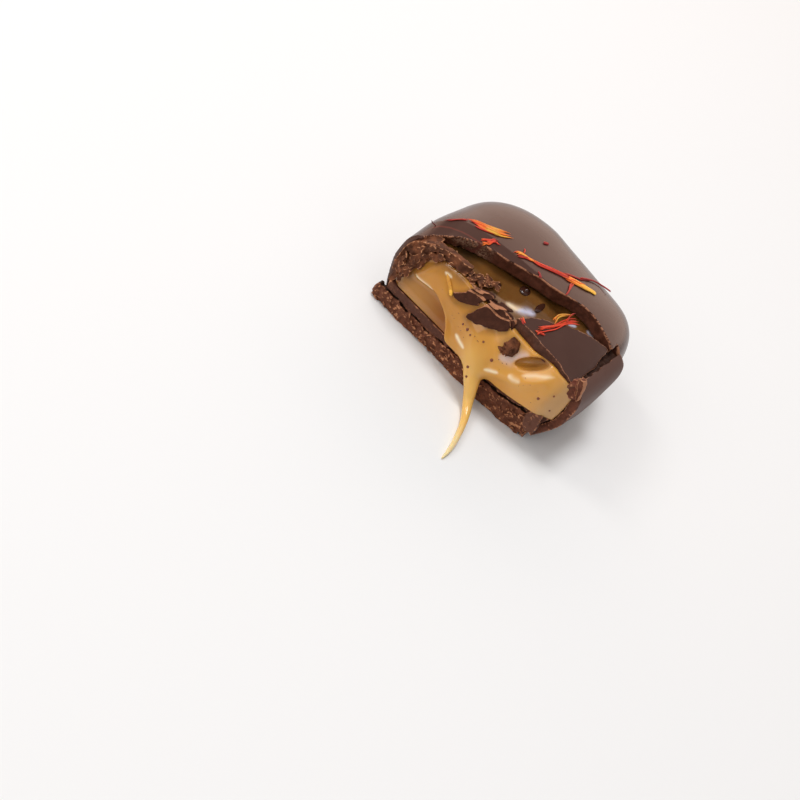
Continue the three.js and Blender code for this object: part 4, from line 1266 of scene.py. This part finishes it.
def chocolate_paint(name, inner, edge_colour, gloss=0.45):
    p = Paint(name)
    broken = p.attribute("broken")
    matte_and_painted_sheen = p.attribute("matte_and_painted_sheen")
    p.colour = p.blend(p.noise(3.5), (0.054, 0.0205, 0.0150), (0.070, 0.029, 0.0220))
    p.cover(broken, p.blend(p.ramp(p.noise(1.0, 3), 0.35, 0.7), *inner))
    p.cover(p.times(p.attribute("sandy"), p.ramp(p.noise(0.22, 3), 0.4, 0.62)), (0.27, 0.155, 0.10))
    specks = p.times(p.ramp(p.noise(0.35, 3), 0.68, 0.76), p.times(broken, 0.5))
    tan = p.times(p.ramp(p.attribute("edge"), 0.4, 0.9), p.ramp(p.noise(0.7, 3), 0.25, 0.5))
    p.cover(p.math("ADD", tan, specks), edge_colour, 0.85)
    p.cover("crack", (0.15, 0.035, 0.025), 0.8)
    # Painted shadow, used on the panel's broken face under the plate.
    p.cover("painted_shadow", (0.016, 0.006, 0.004), 0.85)
    # The panel's coat is painted lighter as a painted sheen, and the same mask makes it rougher.
    p.cover(p.times(matte_and_painted_sheen, p.math("SUBTRACT", 1.0, broken)), (0.155, 0.077, 0.060))
    grain = p.times(p.noise(0.3, 3, 0.6), p.times(broken, 0.6))
    p.bump(p.math("ADD", p.times(p.noise(2.2), 0.25), grain), 0.07)
    rough = p.ramp(p.math("MAXIMUM", broken, matte_and_painted_sheen), 0.0, 1.0, 0.27, 0.6)
    return p.finish(Roughness=rough, Specular_IOR_Level=gloss, Specular_Tint=SHINE)


def crumb_paint():
    p = Paint("crumb_chocolate")
    layer = p.attribute("smooth_layer")
    p.colour = p.blend(p.ramp(p.noise(0.8, 3), 0.35, 0.7), (0.115, 0.036, 0.019), (0.185, 0.062, 0.032))
    p.cover(layer, (0.088, 0.030, 0.019))
    p.cover("chip", (0.125, 0.048, 0.031))
    rough_share = p.math("SUBTRACT", 1.0, p.times(layer, 0.9))
    flecks = p.times(p.ramp(p.noise(0.75, 3, 0.6, (1.5, 1, 1)), 0.60, 0.64), rough_share)
    edges = p.times(p.ramp(p.attribute("edge"), 0.3, 0.9), p.ramp(p.noise(1.0, 3), 0.4, 0.6))
    p.cover(p.math("ADD", edges, flecks), (0.62, 0.27, 0.13), 0.85)
    # Painted shadow inside the base's crack.
    p.cover("painted_shadow", (0.008, 0.003, 0.002), 0.95)
    p.bump(p.noise(0.3, 4, 0.65), 0.05)
    rough = p.ramp(layer, 0.0, 1.0, 0.65, 0.45)
    return p.finish(Roughness=rough, Specular_IOR_Level=0.3, Specular_Tint=SHINE)


def caramel_paint():
    p = Paint("soft_caramel")
    p.colour = p.blend(p.noise(4.5), (0.66, 0.300, 0.048), (0.76, 0.37, 0.070))
    p.cover("left", p.blend(p.noise(3.0), (0.54, 0.225, 0.030), (0.62, 0.280, 0.042)))
    p.cover("pale_end", (0.55, 0.300, 0.105))
    # Painted shade in the hollow below the flow, darkest under the flow's overhang.
    p.cover("painted_hollow_shade", (0.50, 0.235, 0.060))
    p.cover("painted_overhang_shade", (0.33, 0.115, 0.015))
    p.cover("strand", (0.82, 0.49, 0.13))
    p.cover(p.ramp(p.attribute("thin"), 0, 1, 0, 0.85), (0.90, 0.72, 0.40))
    patches = p.ramp(p.noise(1.4, 3), 0.2, 0.7, 0.45, 0.9)
    # Partly real brown discolouring, partly painted shade under the crust, chips and chunk.
    p.cover(p.times(p.attribute("stain_and_shade"), patches), (0.20, 0.085, 0.028))
    # The pool under the broken roof: the caramel's darker colour there with painted shade, and a painted
    # shadow at its left end.
    pool = p.blend(p.noise(2.5, 3), (0.085, 0.030, 0.007), (0.20, 0.085, 0.022))
    p.cover("pool_in_shade", p.blend(p.attribute("painted_pool_shadow"), pool, (0.035, 0.017, 0.008)), 0.95)
    # Pit colour: partly the caramel's own deeper amber, partly painted shade in the hollow.
    p.cover("pit", (0.17, 0.050, 0.003), 0.9)
    # Painted pale lavender reflection beside the pit.
    p.cover("painted_violet_reflection", (0.72, 0.55, 0.52), 0.75)
    # Painted reflection of light on the pool, warm at the left and bluish at the right.
    sheen = p.blend(p.attribute("bluish_glint_side"), (0.80, 0.62, 0.42), (0.60, 0.58, 0.70))
    p.cover(p.times(p.attribute("painted_glint"), p.ramp(p.noise(1.1, 3), 0.25, 0.5, 0.4, 1.0)), sheen)
    # Painted highlights, near white cream.
    p.cover("painted_highlight", (1.0, 0.84, 0.58), 0.9)
    p.bump(p.noise(2.0, 2), 0.03)
    p.shader.inputs["Subsurface Radius"].default_value = (1.0, 0.5, 0.2)
    rough = p.ramp(p.attribute("pit"), 0, 1, 0.14, 0.45)
    return p.finish(Roughness=rough, Subsurface_Weight=0.3, Subsurface_Scale=1.0 * MM)


def petal_paint():
    p = Paint("dried_petal", (0.36, 0.008, 0.010))
    hue = p.attribute("hue")
    p.cover(p.ramp(hue, 0.0, 0.3), (0.85, 0.045, 0.008))
    p.cover(p.ramp(hue, 0.3, 0.6), (0.98, 0.21, 0.005))
    p.cover(p.ramp(hue, 0.6, 1.0), (0.96, 0.51, 0.05))
    p.cover(p.ramp(p.noise(0.35, 3), 0.5, 0.75), (0.40, 0.04, 0.008), 0.45)
    p.cover("shade", (0.10, 0.012, 0.008))
    p.bump(p.noise(0.25, 3), 0.04)
    return p.finish(Roughness=0.55)


# ---- camera, light and floor ----
CAMERA_BACK = 220.0
CAMERA_ELEVATION = math.radians(36.556)
CAMERA_AZIMUTH = math.radians(5.319)
CAMERA_ROLL = math.radians(42.008)
FOCAL_PIXELS = 6.6513 * CAMERA_BACK
ORIGIN_PIXEL = (493.16, 334.13)
FRAME_PIXELS = 800
SENSOR_MM = 36
FLOOR_REACH = 1500
FLOOR_Z = -0.02
SKY = 0.36
# Lamps in metres: name, place, target height, width, height, radiance and colour.
LAMPS = [
    ("backdrop", (-0.26, 0.75, 0.27), 0.02, 1.7, 0.54, 1.35, (1.0, 0.76, 0.62)),
    ("window", (-0.16, 0.06, 0.62), 0.01, 0.24, 0.18, 14.0, (0.97, 0.98, 1.0)),
    ("key", (-0.52, -0.12, 0.46), 0.01, 0.16, 0.16, 9.0, (1.0, 0.98, 0.94)),
    ("fill", (-0.35, -0.75, 0.55), 0.01, 0.8, 0.6, 1.7, (1.0, 0.98, 0.96)),
]


def camera_axes():
    e, a, r = CAMERA_ELEVATION, CAMERA_AZIMUTH, CAMERA_ROLL
    back = Vector((math.sin(a) * math.cos(e), -math.cos(a) * math.cos(e), math.sin(e)))
    right = Vector((math.cos(a), math.sin(a), 0))
    up = back.cross(right)
    image_right = math.cos(r) * right + math.sin(r) * up
    image_up = -math.sin(r) * right + math.cos(r) * up
    return image_right, image_up, back


def make_camera():
    image_right, image_up, back = camera_axes()
    straight = Matrix((image_right, image_up, back)).transposed()
    offset = Vector((ORIGIN_PIXEL[0] - FRAME_PIXELS / 2, FRAME_PIXELS / 2 - ORIGIN_PIXEL[1], -FOCAL_PIXELS))
    aim = Vector((0, 0, -1)).rotation_difference(offset.normalized()).to_matrix()
    data = bpy.data.cameras.new("camera")
    data.sensor_width = SENSOR_MM
    data.lens = FOCAL_PIXELS / FRAME_PIXELS * SENSOR_MM
    data.clip_start = 0.01
    camera = bpy.data.objects.new("camera", data)
    camera.matrix_world = Matrix.Translation(back * CAMERA_BACK * MM) @ (straight @ aim.transposed()).to_4x4()
    bpy.context.collection.objects.link(camera)
    bpy.context.scene.camera = camera


def area_light(name, place, target_height, width, height, radiance, colour):
    data = bpy.data.lights.new(name, "AREA")
    data.shape = "RECTANGLE"
    data.size = width
    data.size_y = height
    data.energy = radiance * math.pi * width * height
    data.color = colour
    lamp = bpy.data.objects.new(name, data)
    lamp.location = place
    view = Vector((0, 0, target_height)) - Vector(place)
    lamp.rotation_euler = view.to_track_quat("-Z", "Y").to_euler()
    bpy.context.collection.objects.link(lamp)


def make_stage():
    corners = [(x * FLOOR_REACH, y * FLOOR_REACH, FLOOR_Z) for x, y in ((-1, -1), (1, -1), (1, 1), (-1, 1))]
    floor = mesh_object("floor", corners, [(0, 1, 2, 3)])
    floor.data.materials.append(Paint("floor_white", (0.88, 0.88, 0.88)).finish(Roughness=0.75))
    world = bpy.data.worlds.new("world")
    world.use_nodes = True
    world.node_tree.nodes["Background"].inputs["Color"].default_value = (1, 1, 1, 1)
    world.node_tree.nodes["Background"].inputs["Strength"].default_value = SKY
    bpy.context.scene.world = world
    for lamp in LAMPS:
        area_light(*lamp)
    bpy.context.scene.view_settings.view_transform = "Standard"


def place(piece, node, slot, material):
    piece.data.materials.append(material)
    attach(piece, "root")
    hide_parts(node)


def main():
    make_camera()
    make_stage()
    chocolate = chocolate_paint("tempered_chocolate", INNER_CHOCOLATE, PALE_EDGE)
    panel = chocolate_paint("panel_chocolate", INNER_CHOCOLATE, (0.52, 0.23, 0.12), 0.2)
    crumbled = chocolate_paint(
        "crumbled_chocolate", ((0.066, 0.020, 0.009), (0.19, 0.062, 0.026)), (0.64, 0.29, 0.14), 0.28)
    dark = chocolate_paint(
        "chip_chocolate", ((0.043, 0.0110, 0.0052), (0.066, 0.019, 0.0095)), (0.50, 0.21, 0.105), 0.25)
    dark_face = chocolate_paint("plate_chocolate", ((0.052, 0.016, 0.009), (0.095, 0.031, 0.018)), PALE_EDGE)
    speck = Paint("speck_chocolate", (0.20, 0.050, 0.018)).finish(Roughness=0.5)
    wet = Paint("wet_chocolate", (0.045, 0.014, 0.008)).finish(Roughness=0.18)
    crumb = crumb_paint()
    petal = petal_paint()
    place(make_shell_body(), "shell_body", "shell", chocolate)
    place(make_crust(), "shell_body", "shell", crumbled)
    place(make_side_panel(), "shell_side_panel", "shell", panel)
    place(make_top_plate(), "top_plate", "shell", dark_face)
    for name, node, *shape in CHIPS:
        place(make_chip(name, *shape), node, "shell", dark)
    place(make_base(), "base", "crumb", crumb)
    place(make_base_chip(), "base_chip", "crumb", crumb)
    caramel, caramel_points = make_caramel()
    place(caramel, "caramel", "caramel", caramel_paint())
    place(make_crumbs(caramel_points), "caramel", "shell", crumbled)
    place(make_specks(caramel_points), "caramel", "shell", speck)
    place(make_pool_blobs(caramel_points), "caramel", "shell", wet)
    place(make_shell_petals(), "shell_body", "shell", petal)
    place(make_plate_petals(), "top_plate", "shell", petal)
    place(make_caramel_petal(caramel_points), "caramel", "shell", petal)


main()
